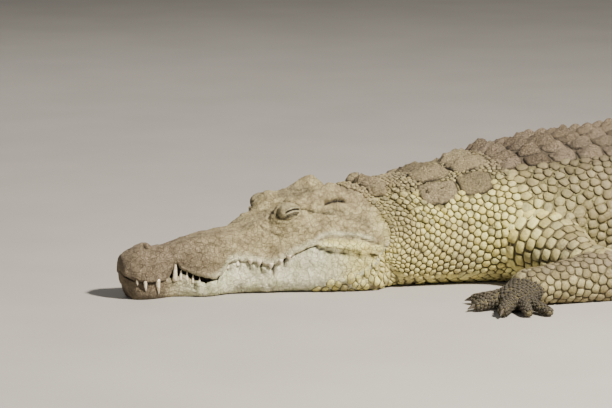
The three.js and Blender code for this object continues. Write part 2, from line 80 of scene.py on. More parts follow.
# ---------------------------------------------------------------- numbers and curves
def ease(value: Reading, low: float, high: float) -> Array:
    """A smooth step.

    Args:
        value: where to read it.
        low: where it is still 0.
        high: where it has reached 1.

    Returns:
        The step's height, from 0 to 1.
    """
    t = np.clip((np.asarray(value, float) - low) / (high - low), 0.0, 1.0)
    return t * t * (3.0 - 2.0 * t)


def bump(t: Reading) -> Array:
    """A bump of height 1 at 0 that ends at -1 and 1."""
    return np.clip(1.0 - np.asarray(t, float) ** 2, 0.0, None) ** 2


def window(value: Array, low: float, high: float, soft: float) -> Array:
    """1 between low and high, falling to 0 over soft on either side."""
    return ease(value, low - soft, low + soft) * (1.0 - ease(value, high - soft, high + soft))


def bell(value: Reading, width: float) -> Array:
    """A Gaussian of that width."""
    return np.exp(-((value / width) ** 2))


def most(*parts: Array) -> Array:
    """The highest of several readings, point by point."""
    return reduce(np.maximum, parts)


def metres(*rows: Row) -> tuple[Row, ...]:
    """A table that is given in millimetres."""
    return tuple(tuple(value / 1000 for value in row) for row in rows)


class SmoothCurve:
    """A Hermite curve through a column of a table whose first column is the station."""

    def __init__(self, rows: tuple[Row, ...], column: int = 1) -> None:
        self.x, self.y = (np.array([row[k] for row in rows]) for k in (0, column))
        ahead = np.minimum(np.arange(len(rows)) + 1, len(rows) - 1)
        behind = np.maximum(np.arange(len(rows)) - 1, 0)
        self.slope = (self.y[ahead] - self.y[behind]) / (self.x[ahead] - self.x[behind])

    def __call__(self, station: Reading) -> Array:
        """The curve's value at a station."""
        s = np.asarray(station, float)
        i = np.clip(np.searchsorted(self.x, s, side="right") - 1, 0, len(self.x) - 2)
        span = self.x[i + 1] - self.x[i]
        t = np.clip((s - self.x[i]) / span, 0.0, 1.0)
        return (
            (2 * t**3 - 3 * t**2 + 1) * self.y[i]
            + (t**3 - 2 * t**2 + t) * span * self.slope[i]
            + (3 * t**2 - 2 * t**3) * self.y[i + 1]
            + (t**3 - t**2) * span * self.slope[i + 1]
        )


def resampled(line: Array, count: int) -> Array:
    """A polyline as count + 1 points, evenly spaced along it."""
    steps = np.hypot(*np.diff(line, axis=0).T)
    along = np.concatenate([[0.0], np.cumsum(steps)])
    wanted = np.linspace(0.0, along[-1], count + 1)
    return np.column_stack([np.interp(wanted, along, line[:, k]) for k in range(2)])


@dataclass(frozen=True)
class Bend:
    """A turn of the spine, in degrees, eased between two stations."""

    turn: float
    start: float
    end: float


class Spine:
    """The line that the body follows along the floor."""

    HEAD = Bend(4.0, 0.6, 0.86)
    TAIL = (Bend(-38.0, 1.98, 2.9), Bend(62.0, 2.85, 3.9))
    STEP = 0.002

    def __init__(self) -> None:
        self.stations = np.arange(-0.2, TOTAL_LENGTH + 0.2, self.STEP)
        heading = self.heading(self.stations + self.STEP / 2)
        self.x = np.concatenate([[0.0], np.cumsum(self.STEP * np.cos(heading))])[:-1]
        self.y = np.concatenate([[0.0], np.cumsum(self.STEP * np.sin(heading))])[:-1]
        self.x -= np.interp(ORIGIN_STATION, self.stations, self.x)
        self.y -= np.interp(ORIGIN_STATION, self.stations, self.y)

    def heading(self, station: Reading) -> Array:
        """The direction towards the tail, in radians from +X."""
        turn = self.HEAD.turn * (1.0 - ease(station, self.HEAD.start, self.HEAD.end))
        for bend in self.TAIL:
            turn = turn + bend.turn * ease(station, bend.start, bend.end)
        return np.radians(turn)

    def place(self, station: Array, out: Array, up: Array) -> Array:
        """Points at a station, out to the right of the spine (negative is left) and up from the floor.

        Returns:
            An array of points whose last axis is x, y, z.
        """
        station, out, up = np.broadcast_arrays(np.asarray(station, float), out, up)
        heading = self.heading(station)
        x = np.interp(station, self.stations, self.x) - out * np.sin(heading)
        y = np.interp(station, self.stations, self.y) + out * np.cos(heading)
        return np.stack([x, y, up], axis=-1)


# ---------------------------------------------------------------- the body's form
@dataclass(frozen=True)
class Swelling:
    """A round rise of the head, the same on both sides."""

    station: float
    out: float
    length: float
    width: float
    rise: float

    def height(self, station: Array, out: Array) -> Array:
        """Its height over the plain form."""
        return self.rise * bump((station - self.station) / self.length) * bump((out - self.out) / self.width)


@dataclass(frozen=True)
class Tooth:
    """One tooth of each side: its station, the length that shows and its half thickness."""

    station: float
    length: float
    thick: float


def teeth(*rows: Row) -> tuple[Tooth, ...]:
    """Teeth from a table in millimetres."""
    return tuple(Tooth(*row) for row in metres(*rows))


class HeadForm:
    """The head's outline, ring by ring, with the line of the mouth."""

    SKULL = metres(
        (2, 17, 90), (10, 32, 100), (28, 47, 111), (54, 54, 115), (88, 50, 113), (114, 43, 117), (148, 56, 126),
        (188, 75, 133), (230, 74, 139), (280, 79, 146), (324, 92, 160), (380, 110, 182), (430, 124, 198),
        (480, 138, 210), (530, 150, 211), (570, 153, 217), (600, 150, 220),
    )
    MOUTH = metres(
        (2, 66), (8, 54), (16, 48), (42, 42), (80, 42), (98, 47), (109, 58), (120, 80), (131, 64), (152, 56),
        (180, 46), (207, 43), (221, 56), (236, 75), (262, 78), (284, 77), (308, 71), (331, 67), (358, 80), (392, 97),
        (424, 108), (480, 104), (530, 92), (600, 76),
    )
    CORNER = 0.424
    JAW_INSET = 0.005
    TIP = 0.01
    TABLE_HALF = 0.064
    BROW = Swelling(0.38, 0.066, 0.05, 0.046, 0.036)
    TABLE_CORNER = Swelling(0.484, 0.064, 0.05, 0.034, 0.029)
    RIDGE = Swelling(0.432, 0.064, 0.034, 0.036, 0.018)
    CANTHUS = Swelling(0.326, 0.056, 0.052, 0.04, 0.016)
    NOSE = Swelling(0.058, 0.0, 0.022, 0.024, 0.005)
    EYE = (0.376, 0.08, 0.183)
    EYE_SIZE = (0.029, 0.019, 0.019)
    BIG_TOOTH = 0.119
    UPPER_TEETH = teeth(
        (26, 11, 3.4), (43, 21, 4.6), (73, 30, 5.4), (95, 9, 3.2), (283, 7.8, 6.8), (302, 7, 6.2), (327, 7.8, 7),
        (348, 6.2, 5.9), (366, 6.2, 5.7),
    )
    LOWER_TEETH = teeth(
        (117, 36, 5.6), (131, 14, 4), (143, 11, 3.8), (155, 9, 3.4), (168, 8, 3.4), (233, 11, 4.4), (256, 15, 5.4),
    )
    LOBES = (0.143, 0.168, 0.196, 0.222, 0.245, 0.27, 0.295, 0.32, 0.345, 0.37)
    SPINDLE_TOP = metres((424, 109.5), (434, 119.5), (462, 126.5), (494, 124.5), (526, 120.5), (566, 108), (600, 93))
    SPINDLE_LOW = metres((424, 107.5), (444, 98), (465, 90.5), (489, 88), (515, 88), (556, 86), (600, 89))
    RIM = metres((415, 14), (450, 22), (494, 30), (522, 41), (546, 56), (570, 78), (602, 112))
    BACK_EDGE = metres(
        (0, 430), (14, 440), (22, 468), (30, 500), (41, 527), (56, 550), (78, 574), (100, 598), (134, 606),
        (165, 597), (190, 583), (212, 562), (226, 546), (260, 540),
    )

    def __init__(self) -> None:
        self.half, self.top = SmoothCurve(self.SKULL), SmoothCurve(self.SKULL, 2)
        self.mouth, self.rim = SmoothCurve(self.MOUTH), SmoothCurve(self.RIM)
        self.spindle_top, self.spindle_low = SmoothCurve(self.SPINDLE_TOP), SmoothCurve(self.SPINDLE_LOW)

    def gape(self, station: Reading) -> Array:
        """How far the lower jaw stays under the mouth line, at the big tooth and behind it."""
        notch = 0.026 * bump((station - self.BIG_TOOTH) / 0.018)
        return 0.0008 + 0.012 * bump((station - 0.16) / 0.056) + notch

    def jaw_half(self, station: float) -> float:
        """The lower jaw's half width."""
        inset = self.JAW_INSET + 0.01 * (1.0 - ease(station, 0.0, 0.06))
        return float(self.half(station) - inset * (1.0 - ease(station, self.CORNER - 0.06, self.CORNER)))

    def roof_up(self, station: float, out: Array) -> Array:
        """The height of the upper surface at a station and a distance from the midline."""
        half, top, mouth = self.half(station), self.top(station), self.mouth(station)
        share = np.clip(out / half, 0.0, 1.0)
        boxed = ease(station, 0.33, 0.47)
        arch = (1.0 - share**2.3) ** (1 / 2.1)
        side = ease(out, self.TABLE_HALF, half)
        drop = 0.13 * ease(out, self.TABLE_HALF, self.TABLE_HALF + 0.016)
        roofed = 1.0 - drop - 0.49 * side - 0.38 * side**8
        plain = mouth + (top - mouth) * (arch * (1.0 - boxed) + roofed * boxed)
        fade = 1.0 - share**6
        for form in (self.BROW, self.TABLE_CORNER, self.RIDGE, self.CANTHUS, self.NOSE):
            plain = plain + form.height(station, out) * fade
        return plain

    def half_ring(self, station: float, roof: int, lip: int, jaw: int) -> Array:
        """Half of the head's outline, from the top of the midline round to its underside.

        Args:
            station: where the ring is.
            roof: steps over the upper surface.
            lip: steps in and out of the mouth line.
            jaw: steps round the lower jaw.

        Returns:
            roof + lip + jaw + 1 points, each as (out, up).
        """
        s = max(station, self.TIP)
        half, mouth = float(self.half(s)), float(self.mouth(s))
        turn = np.linspace(0.0, math.pi / 2, 160)
        out = half * np.sin(turn)
        over = np.column_stack([out, np.maximum(self.roof_up(s, out), mouth + 0.001)])
        shut = 1.0 - float(ease(s, self.CORNER - 0.012, self.CORNER + 0.016))
        depth = (0.009 + 0.008 * float(bump((s - 0.155) / 0.065))) * shut + 1e-4
        jaw_half, low = self.jaw_half(s), mouth - float(self.gape(s)) * shut - 0.0012 * shut
        drop = math.sqrt(float(np.clip((s - 0.008) / 0.016, 0.0, 1.0)))
        groove = (
            (half - 0.25 * depth, mouth),
            (half - depth, mouth + 0.0004),
            (jaw_half - depth * 0.8, low),
            (jaw_half - 0.25 * depth, low - 0.0004),
            (jaw_half, low - 0.003 * shut - 0.0004),
        )
        groove = np.vstack([over[-1], *groove])
        widest = low * 0.55
        power = 2.4 + 1.6 * float(ease(s, 0.3, 0.56))
        share = np.cos(np.linspace(0.0, math.pi / 2, 90))
        arch = (1.0 - (share * 0.9999) ** power) ** (1.0 / power)
        under = np.column_stack([jaw_half * share, np.maximum(0.0, widest - (widest + 0.008) * arch)])
        below = np.vstack([groove[-1], under])
        below[:, 1] = groove[-1][1] - (groove[-1][1] - below[:, 1]) * drop
        ring = np.vstack([resampled(over, roof), resampled(groove, lip)[1:], resampled(below, jaw)[1:]])
        if station < self.TIP:
            middle = np.array([0.0, (self.top(s) + mouth) / 2])
            ring = middle + (ring - middle) * math.sqrt(max(0.0, 1.0 - ((self.TIP - station) / self.TIP) ** 2))
        return ring

    def relief(self, s: Array, o: Array, u: Array) -> Array:
        """How far the fine forms of the head stand out from its plain outline.

        Args:
            s: stations.
            o: distances from the midline.
            u: heights.

        Returns:
            The rise of each point along its normal.
        """
        half, mouth = self.half(s), self.mouth(s)
        outer = ease(o / half, 0.55, 0.8)
        low = mouth - self.gape(s)
        rise = np.zeros_like(s)
        for t in self.UPPER_TEETH:
            rise += 0.003 * outer * bell(s - t.station, 0.0085) * bell(u - mouth - 0.012, 0.012)
        for lobe in self.LOBES:
            rise += 0.0042 * outer * bell(s - lobe, 0.0075) * bell(u - low + 0.01, 0.011)
        rise -= 0.004 * outer * self.lobe_creases(s, u)
        rise += 0.004 * outer * bell(s - self.BIG_TOOTH, 0.012) * bell(u - low + 0.012, 0.012)
        rise += 0.0022 * outer * bell(u - mouth - 0.005, 0.0045) * window(s, 0.02, 0.41, 0.01)
        above = u > mouth + 0.02
        rise += 0.0034 * bell(s - 0.057, 0.018) * bell(o, 0.026) * above
        rise -= 0.008 * self.nostril(s, o) * above
        rise += 0.003 * window(s, 0.19, 0.335, 0.03) * bell(o - 0.2 * (s - 0.14) - 0.018, 0.008) * above
        rise -= 0.003 * window(s, 0.13, 0.33, 0.03) * bell(o, 0.01) * above
        rise -= 0.0045 * bell(s - 0.41, 0.045) * bell(o, 0.03) * above
        rise += self._eye_relief(s, o, u) + self._rear_relief(s, o, u)
        return rise * (1.0 - ease(s, 0.61, 0.64))

    def lobe_creases(self, s: Array, u: Array) -> Array:
        """1 in the upright creases between the lobes of the lower lip."""
        low = self.mouth(s) - self.gape(s)
        between = [(a + b) / 2 for a, b in zip(self.LOBES, self.LOBES[1:])]
        lines = sum(bell(s - c - 0.12 * (low - u), 0.0018) for c in between)
        return lines * window(u, low - 0.022, low + 0.004, 0.006)

    @staticmethod
    def nostril(s: Array, o: Array) -> Array:
        """1 in the closed slit of a nostril, which is a crescent on the nose."""
        return bell(s - 0.056 - 18.0 * (o - 0.013) ** 2, 0.003) * bell(o - 0.013, 0.0085)

    def round_eye(self, s: Array, u: Array) -> Array:
        """The distance from the eye's middle, where 1 is the rim of its lids."""
        return np.hypot((s - self.EYE[0]) / self.EYE_SIZE[0], (u - self.EYE[2]) / self.EYE_SIZE[2])

    def eye_creases(self, s: Array, o: Array, u: Array) -> Array:
        """1 in the deep creases before and behind the lids."""
        back = u - 0.1855 + 0.16 * (s - 0.404)
        orbit = 0.45 * bell(np.hypot(s - 0.358, 1.15 * (u - 0.176)) - 0.05, 0.0024)
        return ease(o, 0.045, 0.062) * most(
            bell(s - 0.3465 + 35.0 * (u - 0.184) ** 2, 0.0026) * window(u, 0.168, 0.199, 0.004),
            bell(s - 0.3265 - 0.1 * (u - 0.178), 0.0034) * window(u, 0.164, 0.191, 0.004),
            bell(back, 0.0024) * window(s, 0.4, 0.44, 0.005),
            0.8 * bell(back, 0.0018) * window(s, 0.42, 0.48, 0.006),
            orbit * ease(0.35 - s, -0.022, 0.01) * (u < 0.168),
        )

    def _eye_relief(self, s: Array, o: Array, u: Array) -> Array:
        """The orbit that holds the lids, its fold and the creases before and behind it."""
        outer = ease(o, 0.045, 0.065)
        ring = self.round_eye(s, u)
        rise = 0.0048 * outer * bell(ring - 1.15, 0.38) * (1 - ease(u, 0.186, 0.2))
        rise -= 0.003 * outer * bell(ring - 1.05, 0.08)
        return rise - 0.006 * self.eye_creases(s, o, u)

    def ear(self, s: Array, u: Array, above: float, width: float) -> Array:
        """1 on a line that runs along the slit of the ear, that far above it."""
        return bell(u - 0.201 + 7.0 * (s - 0.494) ** 2 - above, width)

    def cheek_lines(self, s: Array, u: Array) -> Array:
        """1 in the creases round the soft muscle behind the mouth."""
        under = bell(u - self.spindle_low(s), 0.002) * window(s, 0.48, 0.6, 0.006)
        top = 0.4 * window(s, 0.43, 0.53, 0.006) + 1.0 * window(s, 0.532, 0.596, 0.006)
        return most(
            bell(u - self.spindle_low(s), 0.003) * window(s, 0.422, 0.492, 0.006),
            0.45 * under,
            bell(u - self.spindle_top(s), 0.002) * top,
            0.8 * bell(u - 0.08 - 0.9 * (s - 0.54) ** 2, 0.002) * window(s, 0.508, 0.578, 0.006),
        )

    def in_spindle(self, s: Array, u: Array) -> Array:
        """1 in the middle of the soft muscle behind the mouth, 0 outside it."""
        top, low = self.spindle_top(s), self.spindle_low(s)
        return bump((u - (top + low) / 2) / ((top - low) / 2 + 0.0006)) * window(s, 0.43, 0.594, 0.006)

    def _rear_relief(self, s: Array, o: Array, u: Array) -> Array:
        """The ear, the edge of the skull table, the cheek's muscle and the back of the jaw."""
        outer = ease(o, 0.06, 0.068)
        rise = -0.0085 * outer * self.ear(s, u, 0.0, 0.0021) * window(s, 0.463, 0.52, 0.004)
        rise += 0.005 * outer * self.ear(s, u, 0.009, 0.005) * window(s, 0.462, 0.534, 0.012)
        rise += 0.0018 * outer * self.ear(s, u, -0.01, 0.005) * window(s, 0.47, 0.524, 0.01)
        rise += 0.0022 * bell(o - self.TABLE_HALF + 0.004, 0.006) * window(s, 0.44, 0.54, 0.02) * (u > 0.17)
        cheek = ease(o, 0.08, 0.1)
        rise += 0.007 * self.in_spindle(s, u) * cheek
        rise -= 0.0052 * self.cheek_lines(s, u) * cheek
        fold = bell(u - self.spindle_top(s) - 0.0065, 0.0045) * window(s, 0.415, 0.545, 0.012)
        rise += 0.0036 * fold * cheek
        behind = window(s, 0.455, 0.6, 0.014)
        rise += 0.0052 * bell(u - self.rim(s), 0.005) * behind * cheek
        rise -= 0.004 * bell(u - self.rim(s) + 0.01, 0.0042) * behind * cheek
        return rise


class BodyForm:
    """The outline of the neck, trunk and tail."""

    BODY = metres(
        (560, 150, 222, 92), (640, 164, 234, 98), (720, 178, 242, 104), (800, 194, 256, 110), (900, 222, 280, 118),
        (1020, 262, 297, 126), (1180, 302, 311, 130), (1400, 322, 322, 132), (1600, 302, 320, 130),
        (1760, 260, 316, 128), (1900, 212, 298, 124), (2040, 172, 276, 118), (2300, 136, 242, 104),
        (2650, 104, 204, 88), (3000, 76, 170, 74), (3350, 50, 136, 60), (3700, 26, 98, 44), (3920, 11, 66, 28),
        (4000, 5, 48, 18),
    )
    CREST = metres((1900, 13), (2250, 20), (2700, 36), (3040, 48), (3400, 50), (3750, 38), (4000, 20))
    SINK = 0.016
    BELLY = 2.6  # how square the lower half of the outline is

    def __init__(self) -> None:
        self.half, self.top, self.waist = (SmoothCurve(self.BODY, column) for column in (1, 2, 3))
        self.crest = SmoothCurve(self.CREST)

    def squareness(self, station: Reading) -> Array:
        """How square the upper half of the outline is."""
        return 2.25 - 0.6 * ease(station, 1.85, 2.9)

    def half_ring(self, station: float, steps: int) -> Array:
        """Half of the outline, from the back's midline round to the belly's, as steps + 1 points."""
        half, top, waist = (float(f(station)) for f in (self.half, self.top, self.waist))
        turn, power = np.linspace(0.0, math.pi / 2, 120), 2 / float(self.squareness(station))
        up = waist + (top - waist) * np.cos(turn) ** power
        down = np.maximum(0.0, waist - (waist + self.SINK) * np.sin(turn) ** (2 / self.BELLY))
        upper = np.column_stack([half * np.sin(turn) ** power, up])
        lower = np.column_stack([half * np.cos(turn) ** (2 / self.BELLY), down])
        return resampled(np.vstack([upper, lower[1:]]), steps)

    def outside(self, points: Array) -> Array:
        """How far points lie outside the trunk, which runs straight where the legs join it."""
        station, out, up = points[..., 0] + ORIGIN_STATION, np.abs(points[..., 1]), points[..., 2]
        half, top, waist = self.half(station), self.top(station), self.waist(station)
        reach = np.where(up > waist, top - waist, waist + self.SINK)
        power = 2.35
        gauge = ((out / half) ** power + (np.abs(up - waist) / reach) ** power) ** (1 / power)
        span = np.hypot(out, up - waist)
        return span * (1.0 - 1.0 / np.maximum(gauge, 1e-3))


# ---------------------------------------------------------------- surfaces
class TubeSurface:
    """A closed tube known by a grid of points: stations along it, and turns from 0 to 1 around it."""

    def __init__(self, stations: Array, grid: Array) -> None:
        self.stations = stations
        self.grid = grid
        self.refresh()

    def refresh(self) -> None:
        """Works out the normals and girths of the grid."""
        along = np.gradient(self.grid, axis=0)
        around = (np.roll(self.grid, -1, axis=1) - np.roll(self.grid, 1, axis=1)) / 2
        normal = np.cross(around, along)
        size = np.linalg.norm(normal, axis=2, keepdims=True)
        self.normals = normal / np.maximum(size, 1e-12)
        centre = self.grid.mean(axis=1, keepdims=True)
        if np.sum(self.normals * (self.grid - centre)) < 0:
            self.normals = -self.normals
        edges = np.linalg.norm(np.roll(self.grid, -1, axis=1) - self.grid, axis=2)
        self.girths = edges.sum(axis=1)

    def girth(self, station: Array) -> Array:
        """The distance round the tube at a station."""
        return np.interp(station, self.stations, self.girths)

    def at(self, station: Array, turn: Array) -> tuple[Array, Array]:
        """Points and normals of the surface.

        Args:
            station: how far along.
            turn: how far around, from 0 to 1; it wraps.

        Returns:
            Points and unit normals, with x, y, z as the last axis.
        """
        rows, columns = self.grid.shape[:2]
        place = np.interp(station, self.stations, np.arange(rows))
        i = np.clip(place.astype(int), 0, rows - 2)
        a = (place - i)[..., None]
        j = (np.mod(turn, 1.0)) * columns
        k = np.floor(j).astype(int) % columns
        b = (j - np.floor(j))[..., None]
        n = (k + 1) % columns

        def mixed(values: Array) -> Array:
            """The mean of the four corners round each place, by their nearness."""
            near = values[i, k] * (1 - b) + values[i, n] * b
            far = values[i + 1, k] * (1 - b) + values[i + 1, n] * b
            return near * (1 - a) + far * a

        normals = mixed(self.normals)
        normals /= np.maximum(np.linalg.norm(normals, axis=-1, keepdims=True), 1e-9)
        return mixed(self.grid), normals

    def share(self, station: Array) -> Array:
        """How far along the tube a station is, from 0 to 1."""
        return (station - self.stations[0]) / (self.stations[-1] - self.stations[0])

    def over(self, station: Array, turn: Array, lift: Array) -> Array:
        """Points that stand over the surface by their lift, and off the floor."""
        point, normal = self.at(station, turn)
        point = point + normal * lift[..., None]
        point[..., 2] = np.maximum(point[..., 2], 0.0003)
        return point

    def push(self, rise: Array) -> None:
        """Moves the grid along its normals and keeps it off the floor."""
        self.grid = self.grid + self.normals * rise[..., None]
        self.grid[..., 2] = np.maximum(self.grid[..., 2], 0.0)
        self.refresh()


def rough(points: Array, scale: float, octaves: int = 3) -> Array:
    """Fractal noise from about -1 to 1 at points, with detail of that size in metres."""
    flat = points.reshape(-1, 3) / scale
    values = [noise.fractal(Vector(p), 0.9, 2.1, octaves) for p in flat.tolist()]
    return np.array(values).reshape(points.shape[:-1])


class BodySurface(TubeSurface):
    """The skin of the head, neck, trunk and tail as one tube."""
    """The skin of the head, neck, trunk and tail as one tube."""

    ROOF, LIP, JAW = 66, 14, 34
    JOIN = (0.566, 0.65)
    CREASES = ((0.58, 0.6), (0.6, 0.72), (0.626, 0.8), (0.66, 0.7), (0.7, 0.62))  # station, slope
    TIP_RINGS, TIP_REACH = 6, 0.0098
    SPACING = metres(
        (10, 40, 3.2), (40, 134, 2.2), (134, 312, 3.4), (312, 350, 1.5), (350, 600, 2.9), (600, 740, 4.2),
        (740, 900, 13), (900, 2000, 28), (2000, 3996, 34),
    )  # from, to and the distance of the rings, which are closest at the teeth and before the eye

    def __init__(self, spine: Spine, head: HeadForm, body: BodyForm) -> None:
        self.spine, self.head, self.body = spine, head, body
        half = self.ROOF + self.LIP + self.JAW
        stations = self._stations()
        rings = np.array([self._half_ring(float(s), half) for s in stations])
        full = np.concatenate([rings, rings[:, -2:0:-1] * (-1, 1)], axis=1)
        self.out, self.up = full[..., 0], full[..., 1]
        super().__init__(stations, spine.place(stations[:, None], self.out, self.up))
        s = np.broadcast_to(stations[:, None], self.out.shape)
        self.push(-SKIN_DEPTH * ease(s, 0.56, 0.64))
        self.push(head.relief(s, np.abs(self.out), self.up))
        self._wrinkle(s)
        self._neck_creases(s)

    def _neck_creases(self, s: Array) -> None:
        """Folds that sweep down and back from the nape."""
        turn = np.arange(self.grid.shape[1]) / self.grid.shape[1]
        turn = np.minimum(turn, 1.0 - turn)[None, :]
        lines = sum(bell(s - c - k * (turn - 0.06) - 0.2 * (turn - 0.06) ** 2, 0.006) for c, k in self.CREASES)
        self.push(-0.0085 * lines * window(turn, 0.055, 0.23, 0.03) * ease(s, 0.6, 0.625))

    def _wrinkle(self, s: Array) -> None:
        """Lumps and knobs of the head's hide."""
        out, up = np.abs(self.out), self.up
        on_head = ease(s, 0.004, 0.03) * (1 - ease(s, 0.6, 0.64)) * (up > 0.004)
        lumps, knobs = rough(self.grid, 0.024, 2), np.abs(rough(self.grid, 0.015, 2))
        knobby = window(s, 0.47, 0.59, 0.012) * window(up, 0.036, 0.08, 0.006) * ease(out, 0.08, 0.1)
        calm = 1.0 - 0.8 * self.head.in_spindle(s, up) * ease(out, 0.08, 0.1)
        crinkled = 0.6 + 0.8 * ease(s, 0.22, 0.34)
        fine = rough(self.grid * (1.0, 1.0, 1.8), 0.0085, 2)
        self.push(on_head * calm * (0.0019 * lumps + 0.0016 * crinkled * fine) + 0.005 * knobby * knobs)

    def _stations(self) -> Array:
        """The station of every ring."""
        tip = 0.01 - self.TIP_REACH * np.cos(np.linspace(0.0, math.pi / 2, self.TIP_RINGS))[:-1]
        rings = [np.linspace(a, b, round((b - a) / step), endpoint=False) for a, b, step in self.SPACING]
        return np.concatenate([tip, *rings, [TOTAL_LENGTH - 0.001]])

    def _half_ring(self, station: float, steps: int) -> Array:
        """Half of the outline at a station: the head's, the body's or a blend of the two."""
        mix = float(ease(station, *self.JOIN))
        ring = np.zeros((steps + 1, 2))
        if mix < 1:
            ring += (1 - mix) * self.head.half_ring(min(station, HEAD_END), self.ROOF, self.LIP, self.JAW)
        if mix > 0:
            ring += mix * self.body.half_ring(station, steps)
        return ring

    def head_end(self) -> SmoothCurve:
        """The station where the head's own hide stops and the neck's scales start, for every turn."""
        line, found = SmoothCurve(self.head.BACK_EDGE), []
        for turn in np.linspace(0.0, 0.5, 41):
            station = 0.58
            for _ in range(12):
                point = self.at(np.array(station), np.array(turn))[0]
                station += 0.5 * (float(line(float(point[2]))) - station)
            found.append((float(turn), station))
        return SmoothCurve(tuple(found))

    def armour_end(self) -> SmoothCurve:
        """The turn at the edge of the back's armour, for every station."""
        stations = np.linspace(0.88, 2.0, 30)
        share = 0.605 - 0.36 * ease(stations, 1.9, 1.99)
        found = [(float(s), self.turn_of_out(float(s), float(k * self.body.half(s)))) for s, k in zip(stations, share)]
        return SmoothCurve(tuple(found))

    def turn_of_out(self, station: float, out: float) -> float:
        """The turn at which the upper surface lies that far out to the right."""
        columns = self.grid.shape[1]
        row = self.out[int(np.argmin(np.abs(self.stations - station)))]
        upper = row[: columns // 4]
        turn = float(np.interp(abs(out), upper, np.arange(len(upper)) / columns))
        return turn if out >= 0 else 1.0 - turn


class LimbTube(TubeSurface):
    """A round-ended tube through joints that stays off the floor, the flesh of part of a limb."""

    def __init__(self, joints: list[tuple[Array, float]], flat: float = 1.0, muscle: float = 0.0,
                 around: int = 30, pitch: float = 0.009) -> None:
        self.joints, self.flat = joints, flat
        points = [np.array(p, float) for p, _ in joints]
        lengths = [float(np.linalg.norm(b - a)) for a, b in zip(points, points[1:])]
        ends = np.concatenate([[0.0], np.cumsum(lengths)])
        first, last = joints[0][1], joints[-1][1]
        caps = np.sin(np.linspace(0.08, math.pi / 2, 6))[:-1]
        along = [-first * c for c in caps[::-1]]
        along += list(np.linspace(0.0, ends[-1], max(4, int(ends[-1] / pitch))))
        along += [ends[-1] + last * c for c in caps]
        along[0], along[-1] = -first * 0.999, ends[-1] + last * 0.999
        stations = np.array(sorted(along))
        rings = [self._ring(float(s), points, ends, muscle, around) for s in stations]
        super().__init__(stations, np.array(rings))

    def _ring(self, s: float, points: list[Array], ends: Array, muscle: float, around: int) -> Array:
        """The ring at a distance along the joints."""
        inside = min(max(s, 0.0), float(ends[-1]))
        k = min(int(np.searchsorted(ends, inside, side="right")) - 1, len(points) - 2)
        axes = [(b - a) / np.linalg.norm(b - a) for a, b in zip(points, points[1:])]
        t = (inside - ends[k]) / (ends[k + 1] - ends[k])
        axis = axes[k].copy()
        if k + 1 < len(axes):
            axis = axis * (1 - 0.5 * ease(t, 0.5, 1.0)) + axes[k + 1] * 0.5 * ease(t, 0.5, 1.0)
        if k > 0:
            axis = axis * (1 - 0.5 * ease(1 - t, 0.5, 1.0)) + axes[k - 1] * 0.5 * ease(1 - t, 0.5, 1.0)
        axis /= np.linalg.norm(axis)
        thick = self.joints[k][1] * (1 - t) + self.joints[k + 1][1] * t
        thick *= 1 + muscle * float(bump((t - 0.32) / 0.5))
        over = s - inside
        centre = points[k] * (1 - t) + points[k + 1] * t + axis * over
        thick *= math.sqrt(max(0.0, 1 - (over / thick) ** 2))
        across = np.array([-axis[1], axis[0], 0.0])
        across /= np.linalg.norm(across)
        rise = np.cross(axis, across)
        turn = np.linspace(0.0, 2 * math.pi, around, endpoint=False)
        ring = centre + thick * np.outer(np.sin(turn), across) + thick * self.flat * np.outer(np.cos(turn), rise)
        ring[:, 2] = np.maximum(ring[:, 2], 0.0)
        return ring

    def outside(self, points: Array) -> Array:
        """How far points lie outside the tube."""
        best = np.full(points.shape[:-1], 9.0)
        for (a, thick_a), (b, thick_b) in zip(self.joints, self.joints[1:]):
            a, b = np.array(a), np.array(b)
            t = np.clip(((points - a) @ (b - a)) / ((b - a) @ (b - a)), 0.0, 1.0)
            gap = points - (a + t[..., None] * (b - a))
            gap[..., 2] /= self.flat
            best = np.minimum(best, np.linalg.norm(gap, axis=-1) - (thick_a * (1 - t) + thick_b * t))
        return best


# ---------------------------------------------------------------- limbs
@dataclass(frozen=True)
class Digit:
    """A finger or toe: its spread in degrees, length and half thickness, and whether it has a claw."""

    spread: float
    length: float
    thick: float
    clawed: bool = True


@dataclass(frozen=True)
class Paw:
    """A hand or foot: the turn of its line, and its palm's length, half width and height."""

    turn: float
    palm: float
    half: float
    up: float
    digits: tuple[Digit, ...]
    web: bool


@dataclass(frozen=True)
class LimbPlan:
    """A limb: its joints as (tailward, out, up) from its station, and its half thicknesses."""

    name: str
    station: float
    joints: tuple[Row, Row, Row]
    upper: Span
    lower: Span
    paw: Paw
    words: tuple[str, str, str, str]


FORE = LimbPlan(
    "fore", 0.905, metres((24, 176, 108), (122, 405, 48), (-72, 428, 42)), (0.064, 0.052), (0.052, 0.04),
    Paw(145, 0.06, 0.046, 0.03, (
        Digit(85, 0.072, 0.015), Digit(29, 0.078, 0.016), Digit(-17, 0.096, 0.017),
        Digit(-43, 0.085, 0.014, False), Digit(-70, 0.08, 0.0125, False),
    ), False),
    ("upper_arm", "forearm", "hand", "finger_claw"),
)
HIND = LimbPlan(
    "hind", 1.85, metres((-10, 140, 170), (-190, 372, 122), (4, 470, 46)), (0.104, 0.074), (0.068, 0.042),
    Paw(150, 0.112, 0.044, 0.026, (
        Digit(24, 0.146, 0.017), Digit(6, 0.176, 0.017), Digit(-12, 0.182, 0.016), Digit(-32, 0.16, 0.013, False),
    ), True),
    ("thigh", "shank", "foot", "toe_claw"),
)


@dataclass
class DigitLine:
    """Where one digit starts and which way it points."""

    number: int
    start: Array
    direction: Array
    form: Digit


